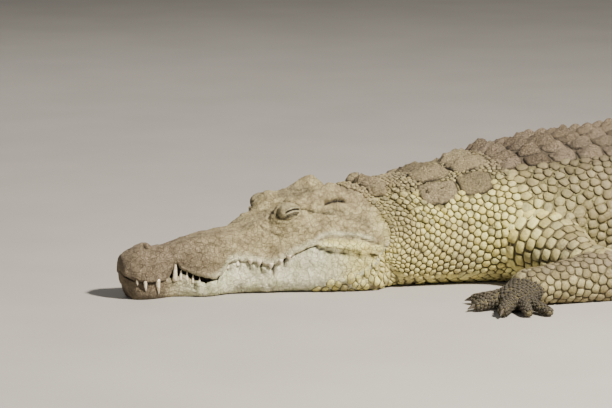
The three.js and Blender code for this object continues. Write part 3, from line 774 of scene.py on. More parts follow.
class Limb:
    """The flesh of one leg as tubes, and the lines of its digits."""

    WEB_REACH, WEB_HALF, WEB_UP, WEB_FLAT = 0.074, 0.058, 0.007, 0.12

    def __init__(self, spine: Spine, plan: LimbPlan, side: int) -> None:
        self.plan, self.side = plan, side
        self.name = "left" if side < 0 else "right"
        root, middle, end = (
            spine.place(plan.station + along, side * out, up) for along, out, up in plan.joints
        )
        self.upper = LimbTube([(root, plan.upper[0]), (middle, plan.upper[1])], muscle=0.1, around=40)
        self.lower = LimbTube([(middle, plan.lower[0]), (end, plan.lower[1])], muscle=0.1, around=36)
        line = float(spine.heading(plan.station)) + side * math.radians(plan.paw.turn)
        ahead = np.array([math.cos(line), math.sin(line), 0.0])
        beside = np.array([-math.sin(line), math.cos(line), 0.0])
        palm_end = end + plan.paw.palm * ahead
        palm_end[2] = plan.paw.up * 0.9
        knuckles = [(end, plan.paw.half * 0.84), (palm_end, plan.paw.half)]
        self.palm = LimbTube(knuckles, flat=0.62, around=32, pitch=0.006)
        self.lines = []
        for k, form in enumerate(plan.paw.digits):
            turn = line + side * math.radians(form.spread)
            across = (k / (len(plan.paw.digits) - 1) - 0.5) * -2
            start = end + plan.paw.palm * ahead + across * side * plan.paw.half * 0.62 * beside
            start[2] = plan.paw.up * 0.8
            self.lines.append(DigitLine(k + 1, start, np.array([math.cos(turn), math.sin(turn), 0.0]), form))
        self.digits = [self._digit(d) for d in self.lines]
        self.web = self._web(end, palm_end) if plan.paw.web else None

    def _digit(self, d: DigitLine) -> LimbTube:
        """A finger or toe whose knuckle stands above its ends."""
        length, thick = d.form.length, d.form.thick
        knuckle, tip = d.start + d.direction * length * 0.45, d.start + d.direction * length
        knuckle[2], tip[2] = thick * 1.35, thick * 0.85
        joints = [(d.start, thick * 1.2), (knuckle, thick * 0.98), (tip, thick * 0.8)]
        return LimbTube(joints, around=16, pitch=0.006)

    def _web(self, end: Array, palm_end: Array) -> LimbTube:
        """The skin between the toes."""
        ahead = palm_end - end
        ahead[2] = 0.0
        ahead /= np.linalg.norm(ahead)
        a, b = palm_end.copy(), palm_end + ahead * self.WEB_REACH
        a[2] = b[2] = self.WEB_UP
        return LimbTube([(a, self.plan.paw.half), (b, self.WEB_HALF)], flat=self.WEB_FLAT, around=28, pitch=0.008)

    def tubes(self) -> list[LimbTube]:
        """Every tube of the limb, from the body out."""
        return [self.upper, self.lower, self.palm, *self.digits] + ([self.web] if self.web else [])

    def blend_with(self, body: BodySurface) -> None:
        """Rounds the joins of the limb's tubes with each other and with the trunk."""
        self.upper.push(fillet(body.body.outside(self.upper.grid), 0.075) - SKIN_DEPTH)
        self.upper.push(fillet(self.lower.outside(self.upper.grid), 0.03))
        self.lower.push(fillet(self.upper.outside(self.lower.grid), 0.03) - SKIN_DEPTH)
        self.lower.push(fillet(self.palm.outside(self.lower.grid), 0.024))
        self.palm.push(fillet(self.lower.outside(self.palm.grid), 0.024) - SKIN_DEPTH * 0.6)
        for digit in self.digits:
            digit.push(fillet(self.palm.outside(digit.grid), 0.012) - SKIN_DEPTH * 0.45)


def fillet(gap: Array, reach: float) -> Array:
    """How far a surface is raised beside another one that is gap away, so that their join is round."""
    return reach / 4 * np.clip(1.0 - np.abs(gap) / reach, 0.0, 1.0) ** 2


# ---------------------------------------------------------------- scales
class PlateShape(Enum):
    """The outlines a scale can have."""

    CELL = "cell"
    BRICK = "brick"


@dataclass(frozen=True)
class PlateField:
    """A stretch of skin that is covered with one kind of scale.

    Stations and turns bound it; turns run from 0 on the back to 0.5 on the belly and are the same on
    both sides. pitch is the distance between rows and between the scales of a row. grade over 1 makes the
    first rows narrow. behind_head starts the field at the back of the head instead of at its first
    station, and below_scutes starts it at the edge of the back's armour instead of at its first turn.
    """

    name: str
    stations: Span
    turns: Span
    pitch: Span
    height: float
    shape: PlateShape = PlateShape.CELL
    jitter: float = 0.16
    stagger: float = 0.5
    small: float = 0.0
    groove: float = 0.0007
    crown: float = 0.3
    both: bool = True
    grade: float = 1.0
    behind_head: bool = False
    below_scutes: bool = False


@dataclass
class Plates:
    """Scales ready to be modelled: centres on the surface, outlines and heights."""

    station: Array
    turn: Array
    reach: Array
    height: Array
    crown: Array

    @classmethod
    def joined(cls, parts: "list[Plates]") -> "Plates":
        """Several sets as one."""
        return cls(*(np.concatenate(column) for column in zip(*(vars(part).values() for part in parts))))

    def kept(self, keep: Array) -> "Plates":
        """Only those that keep marks."""
        return Plates(*(column[keep] for column in vars(self).values()))


class PlateLayout:
    """Places the scales of a field and works out their outlines."""

    DIRECTIONS = 12
    NEAR = 12
    SQUARE = 5.0  # how square a brick's outline is

    def __init__(self, surface: TubeSurface, seed: int) -> None:
        self.surface = surface
        self.random = np.random.default_rng(seed)
        self.angles = np.linspace(0.0, 2 * math.pi, self.DIRECTIONS, endpoint=False) + 0.05
        if isinstance(surface, BodySurface):
            self.head_end, self.armour_end = surface.head_end(), surface.armour_end()

    def lay(self, field: PlateField) -> Plates:
        """The scales of a field.

        Args:
            field: what to cover, and with what.

        Returns:
            The scales on both sides of the body, or right round a limb.
        """
        return Plates.joined([self._one_side(field, side) for side in ((1, -1) if field.both else (1,))])

    def _one_side(self, field: PlateField, side: int) -> Plates:
        """The scales of a field on one side, 1 for right and -1 for left."""
        station, turn, size = self._seeds(field)
        girth, count = self.surface.girth(station), len(station)
        if field.shape is PlateShape.BRICK:
            reach = self._brick(field, girth, count)
        else:
            reach = self._cells(field, station, turn, size, girth)
        reach = np.maximum(reach - field.groove, 0.0008)
        small = np.clip(reach.mean(axis=1) / (0.42 * sum(field.pitch) / 2), 0.35, 1.15)
        height = field.height * small * self.random.uniform(0.85, 1.15, count)
        if side < 0:
            turn, reach = 1.0 - turn, reach[:, (-np.arange(self.DIRECTIONS)) % self.DIRECTIONS]
        return Plates(station, turn, reach, height, np.full(count, field.crown))

    def _seeds(self, field: PlateField) -> tuple[Array, Array, Array]:
        """The centres of a field's scales, in rows across the body, with the size of each."""
        stations, turns, sizes = [], [], []
        (s0, s1), (t0, t1), (ps, pg) = field.stations, field.turns, field.pitch
        rows = max(1, round((s1 - s0) / ps))
        steps = s0 + (s1 - s0) * (np.arange(2 * rows + 1) / (2 * rows)) ** field.grade
        for r in range(rows):
            s, pitch = float(steps[2 * r + 1]), float(steps[2 * r + 2] - steps[2 * r])
            girth = float(self.surface.girth(np.array(s)))
            count = max(1, round((t1 - t0) * girth / (pg * (pitch / ps) ** 0.6)))
            shift = field.stagger * (r % 2)
            for c in range(count + (1 if shift else 0)):
                t = t0 + (c + 0.5 - shift) * (t1 - t0) / count
                if not t0 <= t <= t1:
                    continue
                stations.append(s + self.random.normal(0, field.jitter) * pitch * 0.6)
                turns.append(t + self.random.normal(0, field.jitter) * pg * 0.6 / girth)
                sizes.append(0.62)
                if field.small and self.random.random() < field.small:
                    stations.append(s + pitch * 0.5)
                    turns.append(t + 0.5 * pg / girth * self.random.choice((-1, 1)))
                    sizes.append(0.36)
        radius = np.array(sizes) * min(field.pitch) * (1 if field.small else 0)
        return *self._warped(field, np.array(stations), np.array(turns)), radius

    def _warped(self, field: PlateField, station: Array, turn: Array) -> tuple[Array, Array]:
        """Moves a field's start to the back of the head, or to the edge of the armour."""
        (s0, s1), (t0, t1) = field.stations, field.turns
        if field.behind_head:
            start = self.head_end(turn)
            station = start + (station - s0) * (s1 - start) / (s1 - s0)
        if field.below_scutes:
            start = self.armour_end(station)
            turn = start + (turn - t0) * (t1 - start) / (t1 - t0)
        return station, turn

    def _cells(self, field: PlateField, station: Array, turn: Array, size: Array, girth: Array) -> Array:
        """Outlines that each stop half way to the neighbouring scales."""
        ds = station[None, :] - station[:, None]
        dt = turn[None, :] - turn[:, None]
        if not field.both:
            dt = (dt + 0.5) % 1.0 - 0.5
        dg = dt * girth[:, None]
        span2 = ds**2 + dg**2
        np.fill_diagonal(span2, 9.0)
        near = np.argsort(span2, axis=1)[:, : min(self.NEAR, len(station) - 1)]
        rows = np.arange(len(station))[:, None]
        ns, ng = ds[rows, near], dg[rows, near]
        lead = (ns**2 + ng**2 + size[:, None] ** 2 - size[near] ** 2) / 2
        facing = ns[:, :, None] * np.cos(self.angles) + ng[:, :, None] * np.sin(self.angles)
        cut = np.where(facing > 1e-6, np.maximum(lead, 1e-8)[:, :, None] / np.maximum(facing, 1e-6), 9.0)
        reach = np.minimum(cut.min(axis=1), 0.72 * max(field.pitch))
        return np.minimum(reach, reach.mean(axis=1, keepdims=True) * 1.22)

    def _brick(self, field: PlateField, girth: Array, count: int) -> Array:
        """Squarish outlines that fill their place in the row."""
        long, wide = (end - start for start, end in (field.stations, field.turns))
        a = np.full(count, long / max(1, round(long / field.pitch[0])) / 2)
        b = wide * girth / np.maximum(1, np.round(wide * girth / field.pitch[1])) / 2
        c, s = np.abs(np.cos(self.angles)), np.abs(np.sin(self.angles))
        return ((c / a[:, None]) ** self.SQUARE + (s / b[:, None]) ** self.SQUARE) ** (-1 / self.SQUARE)


@dataclass(frozen=True)
class UnwrapBox:
    """The part of the unit square that a surface's unwrap fills."""

    low: Span
    high: Span

    @staticmethod
    def covering(first: float, last: float) -> "UnwrapBox":
        """A box whose square is filled by the body between two stations."""
        return UnwrapBox((-first / (last - first), 0.0), ((TOTAL_LENGTH - first) / (last - first), 1.0))

    def place(self, along: Array, around: Array) -> Array:
        """Unwrap coordinates of shares along and around a surface."""
        sides = zip(self.low, self.high, (along, around))
        return np.stack([low + (high - low) * np.clip(share, 0.0, 1.0) for low, high, share in sides], axis=-1)


@dataclass
class Patch:
    """A surface, the scales on it, its place on the piece's unwrap and its look."""

    surface: TubeSurface
    plates: Plates
    box: UnwrapBox
    zone: Array
    dark: Array
    warm: Array


def finished(bm: Solid, name: str) -> Piece:
    """A finished solid as a smooth object in the scene.

    Args:
        bm: the solid, which is freed.
        name: the object's name.

    Returns:
        The object, with its faces turned outwards.
    """
    bmesh.ops.recalc_face_normals(bm, faces=bm.faces[:])
    for face in bm.faces:
        face.smooth = True
    mesh = bpy.data.meshes.new(name)
    bm.to_mesh(mesh)
    bm.free()
    obj = bpy.data.objects.new(name, mesh)
    bpy.context.collection.objects.link(obj)
    LOG.info("%s: %d faces", name, len(mesh.polygons))
    return obj


def corners(mesh: Mesh) -> Array:
    """The vertex at every corner of the faces."""
    found = np.zeros(len(mesh.loops), np.int32)
    mesh.loops.foreach_get("vertex_index", found)
    return found


def dress(mesh: Mesh, uv: Array, looks: dict[str, Array], spent: tuple[str, ...]) -> None:
    """Writes the OFBake map and what the materials read.

    Args:
        mesh: the mesh to dress.
        uv: the place of every corner on the unwrap, for the OFBake map.
        looks: a number for every vertex, for each attribute's name.
        spent: attributes that were only needed for building, to take off.
    """
    mesh.uv_layers.new(name="OFBake").data.foreach_set("uv", uv.astype(np.float32).ravel())
    for name, values in looks.items():
        mesh.attributes.new(name, "FLOAT", "POINT").data.foreach_set("value", values.astype(np.float32))
    for name in spent:
        mesh.attributes.remove(mesh.attributes[name])


class Coat:
    """Models scales as closed domed islands, each at its own place on the skin's unwrap."""

    LEVELS = ((1.01, -0.9), (0.96, 0.34), (0.76, 0.86))  # share of the reach, share of the height
    # the finishes paint shade on each scale's sides and in its groove from these depths
    RIMS = (1.0, 0.66, 0.1, 0.0)  # how deep in the groove each level and the top are
    POINTS = PlateLayout.DIRECTIONS

    def __init__(self, name: str, patches: list[Patch], seed: int) -> None:
        self.name, self.patches = name, patches
        self.random = np.random.default_rng(seed)

    def build(self) -> Piece:
        """The coat as one object with an OFBake map and the attributes tone, rim, zone, dark and warm."""
        parts = [self._rings(patch) for patch in self.patches]
        points, uvs = ([np.concatenate(level) for level in zip(*(part[k] for part in parts))] for k in (0, 1))
        looks = {name: np.concatenate([getattr(p, name) for p in self.patches]) for name in ("zone", "dark", "warm")}
        looks["tone"] = self.random.random(len(points[-1]))
        bm = bmesh.new()
        plate, level = bm.faces.layers.int.new("plate"), bm.verts.layers.int.new("level")
        point = bm.verts.layers.int.new("point")
        self._raise(bm, self._outlines(bm, points[0], plate, point), points, level, point)
        for vert in bmesh.ops.poke(bm, faces=[f for f in bm.faces if f.select])["verts"]:
            number = vert.link_faces[0][plate]
            vert[level], vert[point], vert.co = len(self.LEVELS), number * self.POINTS, points[-1][number]
        obj = finished(bm, self.name)
        self._dress(obj.data, uvs, looks)
        return obj

    def _rings(self, patch: Patch) -> tuple[list[Array], list[Array]]:
        """The points of a patch's scales, level by level up to their tops, and their places on the unwrap."""
        p, surface = patch.plates, patch.surface
        angles = np.linspace(0.0, 2 * math.pi, self.POINTS, endpoint=False) + 0.05
        girth = surface.girth(p.station)
        points, uvs = [], []
        for level, (share, rise) in enumerate(self.LEVELS):
            s = p.station[:, None] + share * p.reach * np.cos(angles)
            t = p.turn[:, None] + share * p.reach * np.sin(angles) / girth[:, None]
            lift = p.height[:, None] * (rise * (1 - p.crown[:, None]) + (p.crown[:, None] * rise if level else 0))
            points.append(surface.over(s, t, lift))
            uvs.append(patch.box.place(surface.share(s), t - np.floor(p.turn)[:, None]))
        points.append(surface.over(p.station, p.turn, p.height * (0.9 + 0.35 * p.crown)))
        uvs.append(patch.box.place(surface.share(p.station), p.turn))
        return points, uvs

    def _outlines(self, bm: Solid, ring: Array, plate: Layer, point: Layer) -> list:
        """One face for each scale's outline."""
        faces = []
        for number, outline in enumerate(ring.tolist()):
            verts = [bm.verts.new(p) for p in outline]
            for k, vert in enumerate(verts):
                vert[point] = number * self.POINTS + k
            faces.append(bm.faces.new(verts))
            faces[-1][plate] = number
        return faces

    def _raise(self, bm: Solid, faces: list, points: list[Array], level: Layer, point: Layer) -> None:
        """Extrudes every outline to a shoulder and then to a rim, and selects the faces on top."""
        for k in range(1, len(self.LEVELS)):
            made = bmesh.ops.extrude_face_region(bm, geom=faces, use_keep_orig=k == 1)["geom"]
            flat, old = points[k].reshape(-1, 3), faces
            faces = [g for g in made if isinstance(g, bmesh.types.BMFace)]
            for vert in (g for g in made if isinstance(g, bmesh.types.BMVert)):
                vert[level], vert.co = k, flat[vert[point]]
            if k > 1:
                bmesh.ops.delete(bm, geom=[f for f in old if f.is_valid], context="FACES_ONLY")
        for face in bm.faces:
            face.select = False
        for face in faces:
            face.select = True

    def _dress(self, mesh: Mesh, uvs: list[Array], looks: dict[str, Array]) -> None:
        """Finds the place and the look of every point from the scale that it belongs to."""
        level, point = (np.zeros(len(mesh.vertices), np.int32) for _ in range(2))
        mesh.attributes["level"].data.foreach_get("value", level)
        mesh.attributes["point"].data.foreach_get("value", point)
        plate, top = point // self.POINTS, uvs[-1]
        uv = top[plate]
        for k, table in enumerate(uvs[:-1]):
            uv[level == k] = table.reshape(-1, 2)[point[level == k]]
        corner, start = corners(mesh), np.zeros(len(mesh.polygons), np.int32)
        mesh.polygons.foreach_get("loop_start", start)
        highest = np.maximum.reduceat(level[corner], start)
        hidden = np.repeat(highest == 0, np.diff(np.append(start, len(corner))))
        looks = {"rim": np.choose(level, self.RIMS), **{name: values[plate] for name, values in looks.items()}}
        dress(mesh, np.where(hidden[:, None], top[plate[corner]], uv[corner]), looks, ("level", "point", "plate"))


class Islands:
    """Many closed islands of one start shape, bent onto the body."""

    def __init__(self, surface: BodySurface, seed: int) -> None:
        self.surface = surface
        self.random = np.random.default_rng(seed)

    @staticmethod
    def start(count: int, create: Callable, **sizes: float) -> tuple[Solid, Layer]:
        """A solid with that many of one shape, and the layer that numbers them."""
        bm = bmesh.new()
        island = bm.verts.layers.int.new("island")
        for k in range(count):
            for vert in create(bm, **sizes)["verts"]:
                vert[island] = k
        return bm, island

    @staticmethod
    def read(bm: Solid, island: Layer) -> tuple[Array, Array]:
        """Every point's place in the start shape, and its island's number."""
        return np.array([v.co[:] for v in bm.verts]), np.array([v[island] for v in bm.verts])

    @staticmethod
    def write(bm: Solid, name: str, points: Array, uv: Array, looks: dict[str, Array]) -> Piece:
        """Moves the points to their places and finishes the object."""
        for vert, p in zip(bm.verts, points.tolist()):
            vert.co = p
        obj = finished(bm, name)
        dress(obj.data, uv[corners(obj.data)], looks, ("island",))
        return obj


@dataclass(frozen=True)
class Scute:
    """A large plate of the back, with a keel that is highest at its peak, from -1 in front to 1 behind."""

    station: float
    out: float
    length: float
    width: float
    thick: float
    keel: float
    peak: float


class ScuteArmour(Islands):
    """The shields of the nape and the rows of keeled scutes along the back."""

    CELLS = 10
    NAPE = (
        Scute(0.742, 0.041, 0.1, 0.082, 0.009, 0.009, 0.15),
        Scute(0.836, 0.044, 0.092, 0.086, 0.009, 0.01, 0.15),
        Scute(0.732, 0.12, 0.098, 0.078, 0.009, 0.009, 0.15),
        Scute(0.822, 0.128, 0.082, 0.08, 0.008, 0.008, 0.15),
        Scute(0.606, 0.023, 0.05, 0.046, 0.01, 0.008, 0.1),
        Scute(0.6, 0.068, 0.048, 0.044, 0.01, 0.008, 0.1),
    )
    COLUMN = 0.1  # half a scute, as a share of the body's half width
    KEEL, THICK = 0.021, 0.0052
    WAVES = ((2, 0.03), (3, 0.035), (5, 0.025))  # bends of the outline all round, and their depth

    def scutes(self) -> list[Scute]:
        """Every scute of the right side; the left side has the same."""
        found, row = list(self.NAPE), (TRUNK_END - NECK_END) / SCUTE_ROWS
        for r in range(SCUTE_ROWS):
            station = NECK_END + (r + 0.5) * row
            half = float(self.surface.body.half(station))
            for column in (1, 3, 5):
                width, keel = 2 * self.COLUMN * half * 0.93, self.KEEL * (1.0 if column < 5 else 0.8)
                found.append(Scute(station, column * self.COLUMN * half, row * 0.95, width, self.THICK, keel, 0.4))
        return found

    def covered(self, plates: Plates) -> Array:
        """Which scales would lie under a shield of the nape."""
        under = np.zeros(plates.station.shape, bool)
        point, _ = self.surface.at(plates.station, plates.turn)
        for scute, side in ((scute, side) for scute in self.NAPE for side in (-1, 1)):
            turn = self.surface.turn_of_out(scute.station, side * scute.out)
            gap = point - self.surface.at(np.array(scute.station), np.array(turn))[0]
            under |= np.hypot(gap[:, 0] / scute.length, np.hypot(gap[:, 1], gap[:, 2]) / scute.width) < 0.5
        return under

    def build(self, box: UnwrapBox) -> Piece:
        """The armour as one object."""
        plans = [(s, side) for s in self.scutes() for side in (-1, 1)]
        sizes = {"x_segments": self.CELLS, "y_segments": self.CELLS, "size": 1.0}
        bm, island = self.start(len(plans), bmesh.ops.create_grid, **sizes)
        low = bmesh.ops.extrude_face_region(bm, geom=bm.faces[:], use_keep_orig=True)
        for vert in (g for g in low["geom"] if isinstance(g, bmesh.types.BMVert)):
            vert.co.z = -1.0
        local, index = self.read(bm, island)
        points, uv, rim = self._mapped(local, index, plans, box)
        zone = np.where(np.array([s.station for s, _ in plans]) < NECK_END, 0.86, 1.0)[index]
        looks = {"rim": rim, "zone": zone, "dark": 0 * rim, "warm": 0 * rim + 0.5}
        looks["tone"] = self.random.random(len(plans))[index]
        return self.write(bm, "back_scutes", points, uv, looks)

    def _mapped(self, local: Array, index: Array, plans: list, box: UnwrapBox) -> tuple[Array, Array, Array]:
        """Lays the grid points of every scute on the back and raises them to their keels.

        Args:
            local: the points in their own scute, from -1 to 1, and at -1 under it.
            index: the number of each point's scute.
            plans: the scutes and their sides.
            box: the place of the back on the unwrap.

        Returns:
            The points, their places on the unwrap and how close each is to the rim.
        """
        found = [(*vars(s).values(), self.surface.turn_of_out(s.station, side * s.out)) for s, side in plans]
        station0, _, length, width, thick, keel, peak, turn0 = np.array(found)[index].T
        a, b = local[:, 0], local[:, 1]
        edge = np.maximum(np.abs(a), np.abs(b))
        squircle = edge / np.maximum((np.abs(a) ** 4 + np.abs(b) ** 4) ** 0.25, 1e-6)
        angle = np.arctan2(b, a)
        wobble = self.random.uniform(0, 2 * math.pi, (len(plans), 3))[index].T
        wave = sum(depth * np.sin(n * angle + wobble[k]) for k, (n, depth) in enumerate(self.WAVES))
        squircle = squircle * (1 + (wave - 0.02) * edge**3)
        a, b = a * squircle, b * squircle
        station = station0 + a * length / 2
        turn = turn0 + b * width / 2 / self.surface.girth(station0)
        point, normal = self.surface.at(station, turn)
        peak = peak + 0.12 * np.sin(wobble[0])
        climb = np.where(a < peak, (a + 1) / (1 + peak), np.maximum(0.0, 1 - (a - peak) / (1.02 - peak)))
        crest = bell(b + 0.12 * np.sin(wobble[1]), 0.36)
        ridge = np.sin(climb * math.pi / 2) * (0.62 * crest + 0.38 * (1 - np.minimum(edge, 1.0) ** 2))
        keel = keel * (0.85 + 0.25 * np.sin(wobble[2]))
        grain = rough(point, 0.0085, 3) * 0.0042 + rough(point, 0.024, 2) * 0.005
        grain = grain * np.where(station0 < NECK_END, 1.7, 1.0)
        lift = thick * (1 - 0.9 * edge**2.6) + keel * ridge + grain * (1 - 0.6 * edge**4)
        below = local[:, 2] < -0.5
        lift = np.where(below, -0.0035, lift)
        uv = box.place(self.surface.share(station), turn)
        # rim paints shade along each scute's border and on its underside
        return point + normal * lift[:, None], uv, np.where(below, 1.0, edge**9 * 0.8)


class TailCrest(Islands):
    """The upright blades along the tail: two rows that join into one."""

    def blades(self) -> list[Row]:
        """Each blade as (station, out, length, height)."""
        found, row = [], (TOTAL_LENGTH - TRUNK_END) / WHORLS
        for k in range(WHORLS):
            station = TRUNK_END + (k + 0.6) * row
            height, half = float(self.surface.body.crest(station)), float(self.surface.body.half(station))
            outs = (-0.2 * half, 0.2 * half) if station < SINGLE_CREST_FROM else (0.0,)
            found += [(station, out, row, height) for out in outs]
        return found

    def build(self, box: UnwrapBox) -> Piece:
        """The crest as one object of thin leaning blades."""
        surface, plans = self.surface, self.blades()
        bm, island = self.start(len(plans), bmesh.ops.create_cube, size=2.0)
        bmesh.ops.subdivide_edges(bm, edges=bm.edges[:], cuts=3, use_grid_fill=True)
        local, index = self.read(bm, island)
        station0, _, length, height = np.array(plans)[index].T
        a, b, c = local[:, 0], local[:, 1], (local[:, 2] + 1) / 2
        along = a * length * 0.49 * (1 - 0.8 * c**1.25) + length * 0.22 * c
        thick = (0.008 + 0.1 * height) * (1 - 0.8 * c) * (1 - 0.8 * np.abs(a) ** 3)
        station = np.minimum(station0 + along, surface.stations[-1])
        turn = np.array([surface.turn_of_out(plan[0], plan[1]) for plan in plans])[index]
        point, normal = surface.at(station, turn)[0], surface.at(station0, turn)[1]
        heading = surface.spine.heading(station)
        across = np.column_stack([-np.sin(heading), np.cos(heading), 0 * c])
        lean = 0.65 * np.array((0.0, 0.0, 1.0)) + 0.35 * normal
        lean /= np.linalg.norm(lean, axis=1, keepdims=True)
        lift = -0.006 + (height + 0.008) * c
        lift = lift + 0.0012 * rough(point + lean * lift[:, None], 0.014, 2) * (c > 0)
        points = point + lean * lift[:, None] + across * (thick * b)[:, None]
        uv = box.place(surface.share(station), 0.5 + b * (0.012 + c * height) / surface.girth(station0))
        # rim paints shade on the lowest third of each blade
        rim = np.clip(1 - 3.0 * c, 0, 1) * 0.6
        looks = {"rim": rim, "zone": 0 * rim + 0.9, "dark": tail_bands(station0), "warm": 0 * rim + 0.4}
        looks["tone"] = self.random.random(len(plans))[index]
        return self.write(bm, "tail_crest", points, uv, looks)


def tail_bands(station: Array) -> Array:
    """How dark the bands across the tail are at a station."""
    return 0.75 * ease(station, 1.95, 2.2) * ease(np.sin((station - 2.05) * 2 * math.pi / 0.19), -0.1, 0.6)


# ---------------------------------------------------------------- skin, teeth, claws and eyes
class Skin:
    """The one skin of the head, body and legs."""

    HEAD_SHARE = 0.42  # how much of the unwrap the head has
    HEAD_SPAN = 0.64
    LOOKS = ("zone", "dark", "jaw", "warm", "rim")
    LEG_LOOKS = (0.72, 0.0, 0.0, 0.6, 1.0)

    def __init__(self, body: BodySurface, limbs: list[Limb]) -> None:
        self.body, self.limbs = body, limbs

    def build(self) -> Piece:
        """The skin as one object with an OFBake map and the attributes its material reads."""
        bm = bmesh.new()
        uv = bm.loops.layers.uv.new("OFBake")
        layers = [bm.verts.layers.float.new(name) for name in self.LOOKS]
        self._tube(bm, uv, layers, self.body, self._unwrap, self._body_looks())
        for n, limb in enumerate(self.limbs):
            for k, tube in enumerate(limb.tubes()):
                low = (0.25 * n + 0.002, 0.82 + 0.02 * k)
                box = UnwrapBox(low, (low[0] + 0.246, low[1] + 0.0185))
                looks = [np.full(tube.grid.shape[:2], value) for value in self.LEG_LOOKS]
                self._tube(bm, uv, layers, tube, box.place, looks)
        return finished(bm, "skin")

    def _tube(self, bm: Solid, uv: Layer, layers: list[Layer], tube: TubeSurface, unwrap: Callable,
              looks: list[Array]) -> None:
        """Adds a tube: a grid bent round onto the surface, its seam merged and its ends closed.

        Args:
            bm: the solid to add to.
            uv: its unwrap.
            layers: the layers for the looks.
            tube: the surface.
            unwrap: gives the place of shares along and around it.
            looks: the values of each layer over the tube's grid.
        """
        rows, columns = tube.grid.shape[:2]
        verts = bmesh.ops.create_grid(bm, x_segments=columns, y_segments=rows - 1, size=1.0)["verts"]
        local = np.array([v.co[:] for v in verts])
        j = np.rint((local[:, 0] + 1) / 2 * columns).astype(int)
        i = np.rint((local[:, 1] + 1) / 2 * (rows - 1)).astype(int)
        points = tube.grid[i, j % columns]
        place = unwrap(tube.share(tube.stations[i]), j / columns).tolist()
        values = [look[i, j % columns].tolist() for look in looks]
        for k, vert in enumerate(verts):
            vert.index, vert.co = k, points[k]
            for layer, value in zip(layers, values):
                vert[layer] = value[k]
        for face in {f for v in verts for f in v.link_faces}:
            for loop in face.loops:
                loop[uv].uv = place[loop.vert.index]
        seam = [v for v, c in zip(verts, j) if c in (0, columns)]
        bmesh.ops.remove_doubles(bm, verts=seam, dist=1e-7)
        edges = {e for v in verts if v.is_valid for e in v.link_edges if len(e.link_faces) == 1}
        caps = bmesh.ops.holes_fill(bm, edges=list(edges), sides=0)["faces"]
        for face in bmesh.ops.poke(bm, faces=caps)["faces"] if caps else ():
            known = [loop[uv].uv.copy() for loop in face.loops if loop[uv].uv.length > 0]
            for loop in face.loops:
                if known and loop[uv].uv.length == 0:
                    loop[uv].uv = known[0]

    def _unwrap(self, along: Array, around: Array) -> Array:
        """Gives the head, which is small and fine, more of the unwrap than its length."""
        first, last = self.body.stations[0], self.body.stations[-1]
        s = along * (last - first) + first
        rest = (s - self.HEAD_SPAN) / (TOTAL_LENGTH - self.HEAD_SPAN)
        head, rest = self.HEAD_SHARE * s / self.HEAD_SPAN, self.HEAD_SHARE + (1 - self.HEAD_SHARE) * rest
        return np.stack([np.clip(np.where(s < self.HEAD_SPAN, head, rest), 0, 1), 0.002 + 0.81 * around], axis=-1)

    def _body_looks(self) -> list[Array]:
        """The zone, darkness, paleness, yellow and cover of every point of the body's grid."""
        body, head = self.body, self.body.head
        s = np.broadcast_to(body.stations[:, None], body.out.shape)
        o, u = np.abs(body.out), body.up
        on_head, mouth, columns = 1 - ease(s, 0.59, 0.64), head.mouth(s), body.out.shape[1]
        snout = np.maximum(1 - ease(s, 0.06, 0.42), 0.3 * ease(u - mouth, 0.06, 0.1))
        # the lower jaw's front under the snout takes the snout's brown and loses its paleness: partly its own colour,
        # partly painted shade
        snout = snout * np.maximum(u > mouth, 1 - ease(s, 0.07, 0.15))
        zone = body_zone(s, np.arange(columns) / columns) * (1 - on_head) + (0.5 + 0.42 * snout) * on_head
        column = np.minimum(np.arange(columns), columns - np.arange(columns))
        inside = (column > body.ROOF + 1) & (column < body.ROOF + body.LIP - 1)
        side, cheek = ease(o, 0.05, 0.066), ease(o, 0.08, 0.1) * on_head
        lid_rim = bell(head.round_eye(s, u) - 1.02, 0.1) * (0.45 + 0.55 * ease(0.366 - s, 0.0, 0.012))
        ear = 2.2 * head.ear(s, u, 0.0, 0.0024) * window(s, 0.464, 0.519, 0.004)
        # dark paints shade into the mouth's gap, round the lids, between the lip's lobes, in the creases of the eye,
        # ear and cheek and in the nostrils
        dark = most(
            inside * ease(head.CORNER + 0.004 - s, 0.0, 0.008) * ease(s, 0.006, 0.012),
            side * lid_rim * on_head,
            0.75 * ease(o / head.half(s), 0.55, 0.8) * head.lobe_creases(s, u) * on_head,
            head.eye_creases(s, o, u),
            ease(o, 0.06, 0.068) * ear,
            head.nostril(s, o) * (u > mouth + 0.02),
            0.85 * head.cheek_lines(s, u) * cheek,
        )
        rim = bell(u - head.rim(s), 0.006) * window(s, 0.47, 0.6, 0.014) * cheek
        pale = most(
            ease(mouth - u, -0.006, 0.006) * (1 - ease(s, 0.42, 0.53)) * ease(s, 0.08, 0.2),
            0.6 * bell(u - mouth - 0.006, 0.009) * window(s, 0.2, 0.44, 0.03) * side,
            0.8 * rim,
            0.5 * bell(u - head.spindle_top(s) - 0.0065, 0.006) * window(s, 0.41, 0.56, 0.012) * cheek,
            ease(0.04 - u, 0.0, 0.02) * window(s, 0.3, 0.53, 0.03),
        )
        warm = most(
            0.9 * window(s, 0.468, 0.6, 0.016) * window(u, 0.03, 0.086, 0.01) * cheek * (1 - rim),
            head.in_spindle(s, u) * cheek,
            ease(s, 0.56, 0.64),
            0.7 * window(s, 0.45, 0.62, 0.03) * window(u, 0.02, 0.105, 0.012) * cheek,
        )
        return [zone, np.clip(dark, 0, 1), np.clip(pale, 0, 1) * on_head, np.clip(warm, 0, 1), 1 - on_head]


